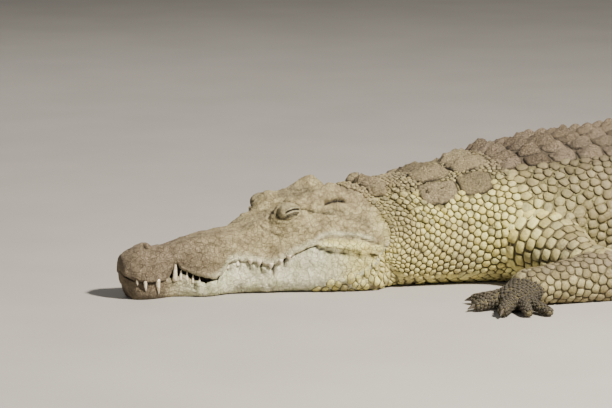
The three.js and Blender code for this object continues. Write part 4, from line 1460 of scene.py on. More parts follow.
def body_zone(station: Array, turn: Array) -> Array:
    """Which hide the body has.

    Args:
        station: how far back.
        turn: how far around, from 0 to 1, with 0.5 on the belly.

    Returns:
        0 on the belly, 0.5 on the flank and 1 on the back.
    """
    half_turn = np.minimum(np.mod(turn, 1.0), 1.0 - np.mod(turn, 1.0))
    edge = 0.085 + 0.02 * ease(station, 1.0, 1.4) + 0.04 * ease(station, 1.9, 2.6)
    back = 1.0 - ease(half_turn, edge, edge + 0.06)
    back = np.maximum(back, 0.45 * (1.0 - ease(half_turn, edge, edge + 0.17)))
    back = back * (0.52 + 0.48 * ease(station, 0.84, 0.95))
    behind_head = (1.0 - ease(station, 0.61, 0.72)) * (1.0 - ease(half_turn, 0.19, 0.28))
    low = 0.3 + 0.11 * (1.0 - ease(station, 0.84, 1.0))
    return 0.5 + 0.5 * np.maximum(back, 0.44 * behind_head) - 0.5 * ease(half_turn, low, low + 0.06)


def body_warmth(station: Array, zone: Array) -> Array:
    """How yellow the hide is: most on the neck and the flanks, less on the tail."""
    neck = 0.26 + 0.74 * (1 - ease(station, 0.84, 1.02))
    return np.clip(neck - 0.3 * ease(station, 1.8, 2.4), 0.0, 1.0) * (1 - 0.65 * ease(zone, 0.52, 0.7))


def cone(bm: Solid, tip: float, cuts: int) -> None:
    """Adds a cone one unit high, with that radius at its tip and rings along its sides."""
    made = bmesh.ops.create_cone(bm, cap_ends=True, segments=14, radius1=1.0, radius2=tip, depth=1.0)
    edges = {e for v in made["verts"] for e in v.link_edges if abs(e.verts[0].co.z - e.verts[1].co.z) > 0.5}
    bmesh.ops.subdivide_edges(bm, edges=list(edges), cuts=cuts)


class Teeth:
    """The teeth that show outside the closed jaws."""

    def __init__(self, spine: Spine, head: HeadForm) -> None:
        self.spine, self.head = spine, head

    def build(self, upper: bool) -> Piece:
        """The teeth of one jaw as one object.

        Args:
            upper: whether it is the upper jaw.

        Returns:
            The teeth of both sides.
        """
        bm, head = bmesh.new(), self.head
        for tooth in head.UPPER_TEETH if upper else head.LOWER_TEETH:
            gum = float(head.mouth(tooth.station))
            if upper:
                out = float(head.half(tooth.station)) + (0.3 if tooth.station > 0.2 else -0.2) * tooth.thick
                root, tip = gum + 0.006, gum - tooth.length
            else:
                gum -= float(head.gape(tooth.station))
                out = head.jaw_half(tooth.station) + (0.8 if tooth is head.LOWER_TEETH[0] else -0.1) * tooth.thick
                root, tip = gum - 0.01, gum + tooth.length
            for side in (-1, 1):
                self._tooth(bm, tooth, side * out, root, tip)
        return finished(bm, "upper_teeth" if upper else "lower_teeth")

    def _tooth(self, bm: Solid, tooth: Tooth, out: float, root: float, tip: float) -> None:
        """A round cone that bends a little inwards and is blunt at its tip."""
        cone(bm, 0.16, 5)
        centre, length = self.spine.place(tooth.station, out, root), abs(tip - root)
        for vert in [v for v in bm.verts if not v.tag]:
            t, radius = vert.co.z + 0.5, math.hypot(vert.co.x, vert.co.y)
            swell, taper = (1 - t**1.8) * 0.9 + 0.1, 1.0 - 0.84 * t
            ring = tooth.thick * swell / max(radius, 1e-6) * min(radius, taper) / max(taper, 1e-6)
            x = centre[0] + vert.co.x * ring + 0.1 * length * t * t
            y = centre[1] + vert.co.y * ring - math.copysign(0.12 * length * t * t, out)
            vert.co, vert.tag = (x, y, root + (tip - root) * t), True


class Claws:
    """The horn claws of the three inner digits of each foot."""

    LENGTH, THICK, DROP = 0.029, 0.0078, 0.6

    def build(self, limb: Limb, line: DigitLine) -> Piece:
        """One claw, curved down to the floor.

        Args:
            limb: the limb it belongs to.
            line: the digit it ends.

        Returns:
            The claw, which stands for its solid.
        """
        node = f"{limb.plan.words[3]}_{limb.name}_{line.number}"
        root = line.start + line.direction * (line.form.length + line.form.thick * 0.1)
        root[2] = line.form.thick * 0.8
        bm = bmesh.new()
        cone(bm, 0.1, 7)
        across = np.array([-line.direction[1], line.direction[0], 0.0])
        for vert in bm.verts:
            t = vert.co.z + 0.5
            x, y = np.array([vert.co.x, vert.co.y]) / max(1e-6, 1 - 0.9 * t)
            radius = self.THICK * (1 - 0.88 * t**1.3)
            p = root + line.direction * (t * self.LENGTH - 0.004) + across * x * radius * 0.85
            p[2] = max(0.0003, root[2] + 0.002 - self.DROP * root[2] * t * t + y * radius * 1.1)
            vert.co = p
        obj = finished(bm, f"horn_{node}")
        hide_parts(node)
        return obj


class EyeLids:
    """The closed lids of one eye: an egg in the orbit with a slit and folds across it."""

    FOLDS = ((-0.36, 0.6), (-0.52, 1.0), (-0.7, 0.8), (0.28, 0.8), (0.42, 0.4))  # gap from the slit, depth
    STRETCH = (1.07, 1.05, 1.1)
    SAME = {"zone": 0.7, "warm": 0.1, "rim": 0.0}  # looks that are the same all over

    def __init__(self, spine: Spine, head: HeadForm) -> None:
        self.spine, self.head = spine, head

    @staticmethod
    def slit(along: float) -> float:
        """The height of the line where the lids meet, along the eye."""
        return 0.02 + 0.143 * along - 0.245 * along * along

    def build(self, side: int) -> Piece:
        """The lids of one side.

        Args:
            side: -1 for left, 1 for right.

        Returns:
            The lids, which stand for the solid of that eye.
        """
        bm, hand = bmesh.new(), "left" if side < 0 else "right"
        layers = {name: bm.verts.layers.float.new(name) for name in ("dark", "jaw", *self.SAME)}
        bmesh.ops.create_uvsphere(bm, u_segments=128, v_segments=88, radius=1.0)
        for vert in bm.verts:
            x, y, z = vert.co
            gap = z - self.slit(x)
            inner = float(window(x, -0.7, 0.8, 0.1))
            cut = float(bell(gap, 0.1)) * inner
            folds = sum(depth * float(bell(gap - at, 0.035)) for at, depth in self.FOLDS)
            lids = 0.06 * float(bell(gap - 0.15, 0.08)) + 0.015 * float(bell(gap + 0.16, 0.06))
            scale = 1 + lids * inner - 0.17 * cut - 0.045 * folds
            brown = 0.62 * float(window(gap, -0.7, -0.28, 0.06)) * inner
            edges = float(bell(gap - 0.19, 0.07) + 0.5 * bell(gap + 0.19, 0.06))
            # dark paints shade in the slit and in the folds; the band below the slit is the lid's own brown
            looks = {"dark": min(1.0, cut * 1.3 + 0.5 * folds + brown), "jaw": 0.1 + 0.3 * edges * inner}
            for name, value in (looks | self.SAME).items():
                vert[layers[name]] = value
            vert.co = Vector((x * (0.82 if x < 0 else 1.0), y, z)) * scale
        station, out, up = self.head.EYE
        turn = Matrix.Rotation(float(self.spine.heading(station)) - side * 0.2, 4, "Z")
        turn = turn @ Matrix.Rotation(side * 0.35, 4, "X")
        stretch = Matrix.Diagonal((*(k * size for k, size in zip(self.STRETCH, self.head.EYE_SIZE)), 1.0))
        centre = Matrix.Translation(self.spine.place(station, side * out, up))
        bmesh.ops.transform(bm, matrix=centre @ turn @ stretch, verts=bm.verts[:])
        obj = finished(bm, f"lids_{hand}")
        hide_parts(f"eye_{hand}")
        return obj


# ---------------------------------------------------------------- finishes
class NodeSheet:
    """A small helper that adds and wires shader nodes."""

    def __init__(self, tree: Tree) -> None:
        self.tree = tree

    def add(self, kind: str, inputs: dict | None = None, **settings: object) -> Node:
        """A node with its settings, and with values or links on its inputs.

        Args:
            kind: the node's type, without ShaderNode.
            inputs: a value or a link for each input's name or number.
            settings: the node's properties.

        Returns:
            The node.
        """
        node = self.tree.nodes.new(kind if kind.startswith("NodeGroup") else f"ShaderNode{kind}")
        for key, value in settings.items():
            setattr(node, key, value)
        for key, value in (inputs or {}).items():
            self.feed(node.inputs[key], value)
        return node

    def feed(self, socket: Socket, value: Value) -> None:
        """Links a socket, or sets its value."""
        if isinstance(value, Socket):
            self.tree.links.new(value, socket)
        else:
            socket.default_value = (*value, 1.0) if socket.type == "RGBA" and len(value) == 3 else value

    def math(self, operation: str, *values: Value, clamp: bool = False) -> Socket:
        """The result of Math nodes, from the first value to the last."""
        settings = {"operation": operation, "use_clamp": clamp}
        return reduce(lambda a, b: self.add("Math", {0: a, 1: b}, **settings).outputs[0], values)

    def times(self, *values: Value) -> Socket:
        """The product of values."""
        return self.math("MULTIPLY", *values)

    def plus(self, *values: Value) -> Socket:
        """The sum of values."""
        return self.math("ADD", *values)

    def without(self, value: Value) -> Socket:
        """What is left of 1 without a value."""
        return self.math("SUBTRACT", 1.0, value)

    def mix(self, factor: Value, a: Value, b: Value) -> Socket:
        """The colour of a Mix node."""
        node = self.add("Mix", data_type="RGBA", clamp_factor=True)
        for number, value in ((0, factor), (6, a), (7, b)):
            self.feed(node.inputs[number], value)
        return node.outputs[2]

    def steps(self, value: Value, low: Value, high: Value, start: float = 0.0, end: float = 1.0) -> Socket:
        """A smooth step from start to end between two values."""
        inputs = {0: value, 1: low, 2: high, 3: start, 4: end}
        return self.add("MapRange", inputs, interpolation_type="SMOOTHSTEP").outputs[0]

    def attributes(self, *names: str) -> list[Socket]:
        """Numbers that the mesh carries."""
        return [self.add("Attribute", attribute_name=name, attribute_type="GEOMETRY").outputs["Fac"] for name in names]

    def place(self) -> Socket:
        """The object's own coordinates."""
        return self.add("TexCoord").outputs["Object"]

    def noise(self, scale: float, detail: float = 4.0, distortion: float = 0.0) -> Socket:
        """Noise over the object's own coordinates."""
        inputs = {"Vector": self.place(), "Scale": scale, "Detail": detail, "Distortion": distortion}
        return self.add("TexNoise", inputs).outputs["Fac"]

    def shift(self, operation: str, a: Socket, **second: Value) -> Socket:
        """The result of a Vector Math node."""
        inputs = {0: a, **{1 if key == "by" else key: value for key, value in second.items()}}
        return self.add("VectorMath", inputs, operation=operation).outputs[0]

    def group(self, tree: Tree, **inputs: Value) -> Node:
        """A node group, with values or links on its inputs."""
        return self.add("Group", inputs, node_tree=tree)


class SharedEffects:
    """Node groups that more than one finish uses."""

    DUST = (0.34, 0.262, 0.168, 1.0)
    WAVE = 0.014  # how far the cracks wander

    def __init__(self) -> None:
        self.cracks, self.weather, self.hide = self._cracks(), self._weather(), self._hide()

    @staticmethod
    def _group(
        name: str, inputs: dict[str, float | Row], outputs: tuple[str, ...]
    ) -> tuple[Tree, NodeSheet, Node, Node]:
        """An empty group with named sockets.

        Args:
            name: the group's name.
            inputs: each input's value, a number or a colour.
            outputs: the outputs, of which Color is a colour.

        Returns:
            The group, its sheet and its input and output nodes.
        """
        tree = bpy.data.node_groups.new(name, "ShaderNodeTree")
        for key, value in inputs.items():
            kind = "NodeSocketFloat" if isinstance(value, float) else "NodeSocketColor"
            tree.interface.new_socket(key, in_out="INPUT", socket_type=kind).default_value = value
        for key in outputs:
            kind = "NodeSocketColor" if key == "Color" else "NodeSocketFloat"
            tree.interface.new_socket(key, in_out="OUTPUT", socket_type=kind)
        sheet = NodeSheet(tree)
        return tree, sheet, sheet.add("NodeGroupInput"), sheet.add("NodeGroupOutput")

    def _cracks(self) -> Tree:
        """Fine cracks that part the skin into small uneven cells."""
        tree, sheet, inp, out = self._group("SkinCracks", {"Scale": 60.0, "Width": 0.08}, ("Crack", "Cell"))
        place = sheet.place()
        wave = sheet.add("TexNoise", {"Vector": place, "Scale": 26.0, "Detail": 4.0, "Roughness": 0.55})
        offset = sheet.shift("SUBTRACT", wave.outputs["Color"], by=(0.5, 0.5, 0.5))
        moved = sheet.shift("ADD", place, by=sheet.shift("SCALE", offset, Scale=self.WAVE))
        inputs = {"Vector": moved, "Scale": inp.outputs["Scale"]}
        edge = sheet.add("TexVoronoi", inputs, feature="DISTANCE_TO_EDGE").outputs["Distance"]
        sheet.feed(out.inputs["Crack"], sheet.steps(edge, 0.0, inp.outputs["Width"], 1.0, 0.0))
        cell = sheet.add("TexVoronoi", inputs).outputs["Color"]
        sheet.feed(out.inputs["Cell"], sheet.add("RGBToBW", {0: cell}).outputs[0])
        return tree

    def _weather(self) -> Tree:
        """Dried mud and dust in soft patches, and fine specks."""
        inputs = {"Color": (0.5, 0.5, 0.5, 1.0), "Dust": self.DUST, "Amount": 0.4}
        tree, sheet, inp, out = self._group("Weathering", inputs, ("Color", "Speck"))
        patch = sheet.steps(sheet.noise(6.5, 7.0, 0.4), 0.45, 0.66)
        speck = sheet.steps(sheet.noise(330.0, 3.0), 0.56, 0.7)
        amount = sheet.math("MULTIPLY", patch, inp.outputs["Amount"], clamp=True)
        dusty = sheet.mix(amount, inp.outputs["Color"], inp.outputs["Dust"])
        sheet.feed(out.inputs["Color"], sheet.mix(sheet.times(speck, 0.3), dusty, (0.09, 0.068, 0.045)))
        sheet.feed(out.inputs["Speck"], speck)
        return tree

    def _hide(self) -> Tree:
        """The animal's own markings, the same on the bare skin and on the scales."""
        names = ("Zone", "Warm", "Pale", "Tone")
        tree, sheet, inp, out = self._group("HideColour", dict.fromkeys(names, 0.5), ("Color",))
        zone, warm, pale, tone = (inp.outputs[name] for name in names)
        tan = sheet.mix(tone, (0.272, 0.217, 0.104), (0.62, 0.532, 0.288))
        yellow = sheet.mix(tone, (0.74, 0.64, 0.2), (1.0, 0.93, 0.38))
        back = sheet.mix(tone, (0.116, 0.086, 0.056), (0.262, 0.2, 0.134))
        upper = sheet.mix(sheet.steps(zone, 0.52, 0.98), sheet.mix(warm, tan, yellow), back)
        colour = sheet.mix(sheet.steps(zone, 0.1, 0.45), (0.78, 0.71, 0.45), upper)
        cream = sheet.mix(sheet.steps(sheet.noise(26.0, 5.0, 0.6), 0.4, 0.66), (1.0, 0.98, 0.7), (0.8, 0.81, 0.5))
        mottle = sheet.times(sheet.steps(sheet.noise(42.0, 6.0, 0.6), 0.48, 0.7), 0.38)
        colour = sheet.mix(mottle, sheet.mix(pale, colour, cream), (0.17, 0.125, 0.07))
        patches = sheet.steps(sheet.noise(8.0, 4.0, 0.9), 0.55, 0.68)
        patches = sheet.times(patches, sheet.steps(zone, 0.2, 0.6), 0.52)
        sheet.feed(out.inputs["Color"], sheet.mix(patches, colour, (0.105, 0.088, 0.062)))
        return tree


@dataclass(frozen=True)
class Finish:
    """What every finish has: a name and a roughness."""

    name: str
    roughness: float

    def start(self) -> tuple[Material, NodeSheet, Node]:
        """A new material with its Principled shader."""
        material = bpy.data.materials.new(self.name)
        material.use_nodes = True
        shader = material.node_tree.nodes["Principled BSDF"]
        shader.inputs["Roughness"].default_value = self.roughness
        shader.inputs["Specular IOR Level"].default_value = 0.3
        return material, NodeSheet(material.node_tree), shader

    @staticmethod
    def raise_bumps(sheet: NodeSheet, shader: Node, height: Socket, distance: float) -> None:
        """Feeds a height to the shader's normal."""
        node = sheet.add("Bump", {"Height": height, "Distance": distance, "Strength": 1.0})
        sheet.feed(shader.inputs["Normal"], node.outputs["Normal"])


@dataclass(frozen=True)
class ScaleFinish(Finish):
    """Scales: the hide's markings, painted shade on their sides and in the grooves between them, and here and there a
    dark scale.
    """

    # painted shade on the scales' sides and in the grooves
    groove: Colour = (0.032, 0.025, 0.015)
    blotch: Colour = (0.06, 0.052, 0.04)
    odd: float = 0.6
    relief: float = 0.0024
    crackle: float = 0.45

    def build(self, effects: SharedEffects) -> Material:
        """The material."""
        material, sheet, shader = self.start()
        tone, rim, zone, dark, warm = sheet.attributes("tone", "rim", "zone", "dark", "warm")
        hide = sheet.group(effects.hide, Zone=zone, Warm=warm, Tone=tone, Pale=0.0)
        odd = sheet.times(sheet.steps(tone, 0.8, 0.95), self.odd, sheet.steps(zone, 0.3, 0.6))
        colour = sheet.mix(sheet.math("MAXIMUM", odd, dark, clamp=True), hide.outputs["Color"], self.blotch)
        # painted shade: each scale darkens towards its rim and in the groove
        colour = sheet.mix(sheet.steps(rim, 0.17, 0.85), colour, self.groove)
        worn = sheet.group(effects.weather, Color=colour, Amount=0.3)
        sheet.feed(shader.inputs["Base Color"], worn.outputs["Color"])
        crack = sheet.group(effects.cracks, Scale=190.0, Width=0.1).outputs["Crack"]
        height = sheet.plus(sheet.times(crack, -self.crackle), sheet.noise(150.0, 6.0))
        self.raise_bumps(sheet, shader, height, self.relief)
        return material


@dataclass(frozen=True)
class SkinFinish(Finish):
    """The skin: cracked and brown on the head, pale on the lower jaw, with painted shade in its creases and slits and
    between the scales.
    """

    line: Colour = (0.078, 0.056, 0.033)
    # painted shade for the creases and slits; the lids' brown band below the slit takes it too
    crease_shade: Colour = (0.018, 0.013, 0.009)
    # painted shade on the skin that shows between the scales
    between: Colour = (0.085, 0.068, 0.044)
    relief: float = 0.0034

    def build(self, effects: SharedEffects) -> Material:
        """The material."""
        material, sheet, shader = self.start()
        zone, dark, pale, warm, rim = sheet.attributes(*Skin.LOOKS)
        big = sheet.group(effects.cracks, Scale=82.0, Width=0.06).outputs
        fine = sheet.group(effects.cracks, Scale=270.0, Width=0.11).outputs["Crack"]
        blotches = sheet.steps(sheet.noise(48.0, 9.0), 0.32, 0.68)
        tone = sheet.plus(sheet.times(big["Cell"], 0.25), sheet.times(blotches, 0.75))
        hide = sheet.group(effects.hide, Zone=zone, Warm=warm, Pale=pale, Tone=tone)
        some = sheet.steps(sheet.noise(17.0, 3.0), 0.42, 0.64)
        outlined = sheet.times(warm, sheet.without(rim), big["Crack"], 0.85)
        lines = sheet.math("MAXIMUM", sheet.times(big["Crack"], some, 0.46), sheet.times(fine, 0.27), outlined)
        lines = sheet.times(lines, sheet.without(sheet.times(pale, 0.55)))
        colour = sheet.mix(lines, hide.outputs["Color"], self.line)
        worn = sheet.group(effects.weather, Color=colour, Amount=0.3)
        # painted shade between the scales, where the rim look is 1
        colour = sheet.mix(sheet.times(rim, 0.75), worn.outputs["Color"], self.between)
        # painted shade where the dark look marks a crease or slit
        sheet.feed(shader.inputs["Base Color"], sheet.mix(dark, colour, self.crease_shade))
        height = ((big["Crack"], -0.55), (fine, -0.35), (big["Cell"], 0.6), (sheet.noise(95.0, 8.0), 1.6))
        self.raise_bumps(sheet, shader, sheet.plus(*(sheet.times(*part) for part in height)), self.relief)
        return material


@dataclass(frozen=True)
class HornFinish(Finish):
    """Claws and teeth: a root colour and a tip colour mixed in fine streaks."""

    root: Colour
    tip: Colour
    streak: float

    def build(self, effects: SharedEffects) -> Material:
        """The material."""
        material, sheet, shader = self.start()
        streaks = sheet.steps(sheet.noise(self.streak, 4.0, 1.2), 0.35, 0.7)
        worn = sheet.group(effects.weather, Color=sheet.mix(streaks, self.tip, self.root), Amount=0.15)
        sheet.feed(shader.inputs["Base Color"], worn.outputs["Color"])
        self.raise_bumps(sheet, shader, sheet.noise(self.streak * 2, 4.0, 1.0), 0.0004)
        return material


@dataclass(frozen=True)
class PlainFinish(Finish):
    """A plain matt surface for the floor."""

    colour: Colour

    def build(self) -> Material:
        """The material."""
        material, sheet, shader = self.start()
        faint = sheet.mix(sheet.steps(sheet.noise(3.0), 0.3, 0.7), self.colour, tuple(0.94 * c for c in self.colour))
        sheet.feed(shader.inputs["Base Color"], faint)
        return material


class Palette:
    """Every material of the model."""

    IVORY, YELLOWED = (0.86, 0.8, 0.64), (0.58, 0.45, 0.26)
    HORN, BLACK_HORN = (0.1, 0.082, 0.06), (0.04, 0.033, 0.026)

    def __init__(self) -> None:
        effects = SharedEffects()
        self.skin = SkinFinish("skin_hide", 0.72).build(effects)
        self.hide = ScaleFinish("body_scales", 0.6).build(effects)
        self.armour = ScaleFinish("back_armour", 0.74, odd=0.2, relief=0.005, crackle=0.7).build(effects)
        self.limbs = ScaleFinish("limb_scales", 0.6, odd=0.55).build(effects)
        self.teeth = HornFinish("tooth_ivory", 0.32, self.YELLOWED, self.IVORY, 90.0).build(effects)
        self.claws = HornFinish("claw_horn", 0.42, self.BLACK_HORN, self.HORN, 120.0).build(effects)


# ---------------------------------------------------------------- the whole animal
class Crocodile:
    """Builds every piece of the animal."""

    FLESH = ("head", "lower_jaw", "neck", "trunk_front", "trunk_rear", "tail_1", "tail_2", "tail_3")
    BODY_FIELDS = (
        PlateField("throat", (0.25, 0.46), (0.458, 0.5), (0.016, 0.016), 0.0014),
        PlateField("nape", (0.55, 0.905), (0.0, 0.115), (0.0105, 0.011), 0.0034, jitter=0.28, crown=0.6,
                   grade=1.1, small=0.15, behind_head=True),
        PlateField("neck", (0.58, 0.905), (0.118, 0.345), (0.0135, 0.017), 0.004, jitter=0.13, groove=0.0006,
                   crown=0.6, grade=1.3, small=0.12, behind_head=True),
        PlateField("neck_under", (0.462, 0.905), (0.348, 0.5), (0.0165, 0.019), 0.0032, jitter=0.12,
                   crown=0.6, grade=1.15, behind_head=True),
    )
    TRUNK_FIELDS = (
        PlateField("flank_high", (0.905, 1.96), (0.142, 0.22), (0.0225, 0.02), 0.0054, jitter=0.26,
                   small=0.6, crown=0.6, below_scutes=True),
        PlateField("flank_low", (0.905, 1.96), (0.222, 0.345), (0.0225, 0.0205), 0.0046, jitter=0.2,
                   small=0.35, crown=0.5),
        PlateField("belly", (0.905, 2.02), (0.347, 0.5), (0.034, 0.03), 0.0024, PlateShape.BRICK,
                   jitter=0.02, stagger=0.0),
    )
    LEG_BLEND = 0.075

    def __init__(self) -> None:
        self.spine, self.head, self.body = Spine(), HeadForm(), BodyForm()
        self.surface = BodySurface(self.spine, self.head, self.body)
        self.limbs = [Limb(self.spine, plan, side) for plan in (FORE, HIND) for side in (-1, 1)]
        self.palette = Palette()

    def build(self) -> None:
        """Every piece, in order, each riding on the model's one body."""
        self._blend()
        pieces = [self._skin(), *self._body_coat(), *self._limb_coats(), *self._armour()]
        pieces += self._teeth() + self._claws() + self._lids()
        for piece in pieces:
            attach(piece, "root")

    def _blend(self) -> None:
        """Rounds the joins of the eyes and the head, and of the legs and the trunk."""
        station, out, up = self.head.EYE
        for side in (-1, 1):
            egg = self.spine.place(station, side * out, up)
            ring = np.linalg.norm((self.surface.grid - egg) / self.head.EYE_SIZE, axis=-1)
            self.surface.push(fillet((ring - 1.0) * self.head.EYE_SIZE[1], 0.024))
        rise = most(*(fillet(limb.upper.outside(self.surface.grid), self.LEG_BLEND) for limb in self.limbs))
        self.surface.push(rise * window(self.surface.stations, 0.7, 2.15, 0.05)[:, None])
        for limb in self.limbs:
            limb.blend_with(self.surface)

    @staticmethod
    def _finish(obj: Piece, material: Material, slot: str) -> Piece:
        """Gives a piece its material."""
        obj.data.materials.append(material)
        return obj

    def _skin(self) -> Piece:
        """The one skin that stands for all the flesh."""
        obj = self._finish(Skin(self.surface, self.limbs).build(), self.palette.skin, "hide")
        legs = [f"{word}_{limb.name}" for limb in self.limbs for word in limb.plan.words[:3]]
        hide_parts(*self.FLESH, *legs)
        return obj

    def _patch(self, plates: Plates, span: Span, dark: Array | None = None) -> Patch:
        """Scales of the body with their look, without those inside a leg.

        Args:
            plates: the scales.
            span: the stations that the piece's unwrap shows.
            dark: how dark each scale is, if that is known.

        Returns:
            The scales, ready for their coat.
        """
        point, _ = self.surface.at(plates.station, plates.turn)
        keep = np.min([limb.upper.outside(point) for limb in self.limbs], axis=0) > -0.004
        plates = plates.kept(keep)
        zone = body_zone(plates.station, plates.turn)
        dark = 0.48 * ease(plates.station, 0.88, 1.02) if dark is None else dark[keep]
        return Patch(self.surface, plates, UnwrapBox.covering(*span), zone, dark, body_warmth(plates.station, zone))

    def _body_coat(self) -> list[Piece]:
        """The scales of the neck, flanks, belly and tail."""
        layout, armour, neck, tail = PlateLayout(self.surface, 3), ScuteArmour(self.surface, 5), [], []
        for field in self.BODY_FIELDS:
            plates = layout.lay(field)
            if field.name in ("nape", "neck"):
                plates = plates.kept(~armour.covered(plates))
            neck.append(self._patch(plates, (0.24, 0.92)))
        trunk = [self._patch(layout.lay(field), (0.89, 2.04)) for field in self.TRUNK_FIELDS]
        for plates in map(layout.lay, self._tail_fields()):
            tail.append(self._patch(plates, (1.92, TOTAL_LENGTH), tail_bands(plates.station)))
        coats = (("neck_scales", neck, "hide"), ("trunk_scales", trunk, "hide"), ("tail_scales", tail, "armour"))
        return [
            self._finish(Coat(name, patches, 11 + k).build(), self.palette.hide, slot)
            for k, (name, patches, slot) in enumerate(coats)
        ]

    @staticmethod
    def _tail_fields() -> list[PlateField]:
        """One ring of scales for each whorl of the tail, and smaller ones beneath."""
        row, brick, fields = (TOTAL_LENGTH - TRUNK_END) / WHORLS, PlateShape.BRICK, []
        for k in range(WHORLS):
            start, wide = TRUNK_END + k * row, 0.046 - 0.016 * k / WHORLS
            span, first = (start, start + row), 0.075 if start < SINGLE_CREST_FROM else 0.03
            fields += [
                PlateField(f"whorl_{k}", span, (first, 0.36), (row, wide), 0.0042, brick, 0.01, 0.0, crown=0.6),
                PlateField(f"under_{k}", span, (0.36, 0.5), (row / 2, wide * 0.7), 0.0022, brick, 0.01, 0.0),
            ]
        return fields

    def _limb_coats(self) -> list[Piece]:
        """The scales of each leg."""
        coats = []
        for n, limb in enumerate(self.limbs):
            patches, hind = [], limb.plan is HIND
            specs = [(limb.upper, 0.025 if hind else 0.024, 0.0044), (limb.lower, 0.0185, 0.0036)]
            specs += [(limb.palm, 0.0095, 0.0026), *((digit, 0.0085, 0.0022) for digit in limb.digits)]
            for k, (tube, pitch, height) in enumerate(specs):
                ends = (float(tube.stations[1]), float(tube.stations[-2]))
                shape = PlateShape.BRICK if k > 2 or (k == 0 and not hind) else PlateShape.CELL
                across = pitch * ((1.35, 1.25)[k] if k < 2 and not hind else 0.95)
                field = PlateField(f"limb_{k}", ends, (0.0, 1.0), (pitch, across), height, shape,
                                   0.13 if k else 0.05, groove=0.0006, crown=0.35, both=False)
                patches.append(self._limb_patch(limb, tube, PlateLayout(tube, 40 + 10 * n + k).lay(field), k))
            coat = Coat(f"{limb.plan.name}_{limb.name}_scales", patches, 70 + n).build()
            coats.append(self._finish(coat, self.palette.limbs, "limb_skin"))
        return coats

    def _limb_patch(self, limb: Limb, tube: LimbTube, plates: Plates, place: int) -> Patch:
        """Scales of one tube of a leg, without those inside its neighbours or under the sole.

        Args:
            limb: the leg.
            tube: the tube.
            plates: its scales.
            place: 0 for the upper part, 1 for the lower one, 2 for the palm and more for the digits.

        Returns:
            The scales, ready for their coat.
        """
        point, _ = tube.at(plates.station, plates.turn)
        others = [t for t in limb.tubes() if t is not tube and t is not limb.web]
        outside = np.min([t.outside(point) for t in others], axis=0)
        keep = (outside > -0.002) & (self.body.outside(point) > -0.004) & (point[:, 2] > 0.0008)
        plates, point = plates.kept(keep), point[keep]
        height = point[:, 2] / max(1e-6, float(tube.grid[..., 2].max()))
        root = (1 - ease(plates.station, 0.02, 0.16)) * (place == 0)
        near_zone, near_dark, near_warm = (0.5, 0.0, 0.9) if limb.plan is FORE else (0.56, 0.3, 0.25)
        zone = (0.42 + 0.4 * ease(height, 0.2, 0.9)) * (1 - root) + near_zone * root
        dark = (0.12, 0.28, 0.96)[min(place, 2)] * (1 - root) + near_dark * root
        warm = 0.35 - 0.15 * (place == 1) - 0.35 * (place > 1) + (near_warm - 0.35) * root
        return Patch(tube, plates, UnwrapBox((0.0, 0.11 * place), (1.0, 0.11 * place + 0.108)), zone, dark, warm)

    def _armour(self) -> list[Piece]:
        """The scutes of the back and the crest of the tail."""
        back = ScuteArmour(self.surface, 5).build(UnwrapBox.covering(0.6, 1.95))
        crest = TailCrest(self.surface, 8).build(UnwrapBox.covering(1.92, TOTAL_LENGTH))
        return [self._finish(piece, self.palette.armour, "armour") for piece in (back, crest)]

    def _teeth(self) -> list[Piece]:
        """The teeth of both jaws."""
        teeth = Teeth(self.spine, self.head)
        return [self._finish(teeth.build(upper), self.palette.teeth, "jaw_skin") for upper in (True, False)]

    def _claws(self) -> list[Piece]:
        """Every claw."""
        lines = [(limb, line) for limb in self.limbs for line in limb.lines if line.form.clawed]
        return [self._finish(Claws().build(*place), self.palette.claws, "claw") for place in lines]

    def _lids(self) -> list[Piece]:
        """The closed eyes."""
        lids = EyeLids(self.spine, self.head)
        return [self._finish(lids.build(side), self.palette.skin, "eyelid") for side in (-1, 1)]


@dataclass(frozen=True)
class Lamp:
    """A soft light: its place, size, power and colour."""

    place: tuple[float, float, float]
    size: float
    power: float
    colour: Colour


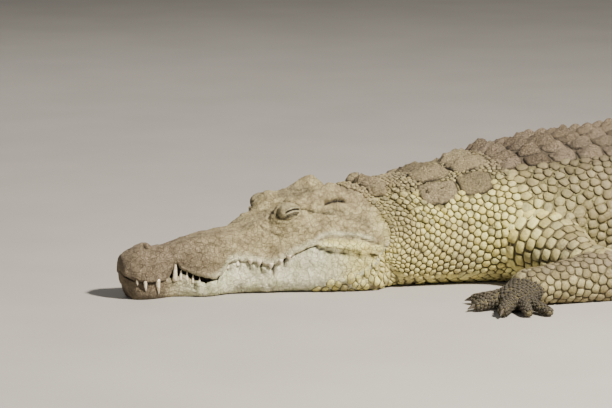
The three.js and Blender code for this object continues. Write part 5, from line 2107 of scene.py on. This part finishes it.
class Studio:
    """The floor, the lights and the camera."""

    LAMPS = (
        Lamp((0.9, -3.6, 4.1), 0.45, 900.0, (1.0, 0.94, 0.84)),
        Lamp((-4.0, -4.0, 2.6), 3.5, 26.0, (0.95, 0.97, 1.0)),
        Lamp((-1.0, 4.0, 3.0), 3.0, 45.0, (1.0, 0.96, 0.9)),
    )
    LIT, AIM = Vector((-0.7, 0.0, 0.1)), Vector((-1.0, 0.0, 0.13))
    AZIMUTH, ELEVATION = math.radians(18.95), math.radians(9.6)
    DISTANCE = 8.0
    FRAME_WIDTH, FOCAL_PIXELS = 612.0, 3518.1
    CENTRE_OFFSET = (25.4, 23.3)  # where the aim lies left of and below the frame's centre, in pixels

    def build(self) -> None:
        """The whole studio."""
        self._floor()
        self._lights()
        self._camera()

    @staticmethod
    def _add(name: str, data: bpy.types.ID, place: Vector, way: Vector) -> Piece:
        """Puts a lamp or a camera at a place, looking that way."""
        obj = bpy.data.objects.new(name, data)
        obj.location, obj.rotation_euler = place, way.to_track_quat("-Z", "Y").to_euler()
        bpy.context.collection.objects.link(obj)
        return obj

    def _floor(self) -> None:
        """A plain pale floor."""
        bm = bmesh.new()
        bmesh.ops.create_grid(bm, x_segments=1, y_segments=1, size=30.0)
        floor = finished(bm, "floor")
        floor.location.z = -0.0005
        floor.data.materials.append(PlainFinish("floor_matt", 0.9, (0.42, 0.395, 0.36)).build())

    def _lights(self) -> None:
        """A key from the upper right, a weak fill and a light from behind."""
        for k, lamp in enumerate(self.LAMPS):
            data = bpy.data.lights.new(f"lamp_{k}", "AREA")
            data.energy, data.size, data.color = lamp.power, lamp.size, lamp.colour
            self._add(f"lamp_{k}", data, Vector(lamp.place), self.LIT - Vector(lamp.place))
        world = bpy.data.worlds.new("studio")
        world.use_nodes = True
        sky = world.node_tree.nodes["Background"].inputs
        sky["Color"].default_value, sky["Strength"].default_value = (0.84, 0.85, 0.86, 1.0), 0.17
        bpy.context.scene.world = world

    def _camera(self) -> None:
        """A long lens a little above the floor, ahead of the animal's left side."""
        across, ahead = math.sin(self.AZIMUTH), math.cos(self.AZIMUTH)
        level, fall = math.cos(self.ELEVATION), -math.sin(self.ELEVATION)
        forward, right = Vector((across * level, ahead * level, fall)), Vector((ahead, -across, 0.0))
        left, down = self.CENTRE_OFFSET
        aim = forward + right * (left / self.FOCAL_PIXELS) + right.cross(forward) * (down / self.FOCAL_PIXELS)
        data = bpy.data.cameras.new("camera")
        data.sensor_width = 36.0
        data.lens = self.FOCAL_PIXELS / self.FRAME_WIDTH * data.sensor_width
        data.clip_start, data.clip_end = 0.1, 100.0
        bpy.context.scene.camera = self._add("camera", data, self.AIM - forward * self.DISTANCE, aim)


def main() -> None:
    """Builds the crocodile and its studio."""
    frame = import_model()
    LOG.info("frame loaded: %d nodes", len(frame["nodes"]))
    Crocodile().build()
    Studio().build()


if __name__ == "__main__":
    main()
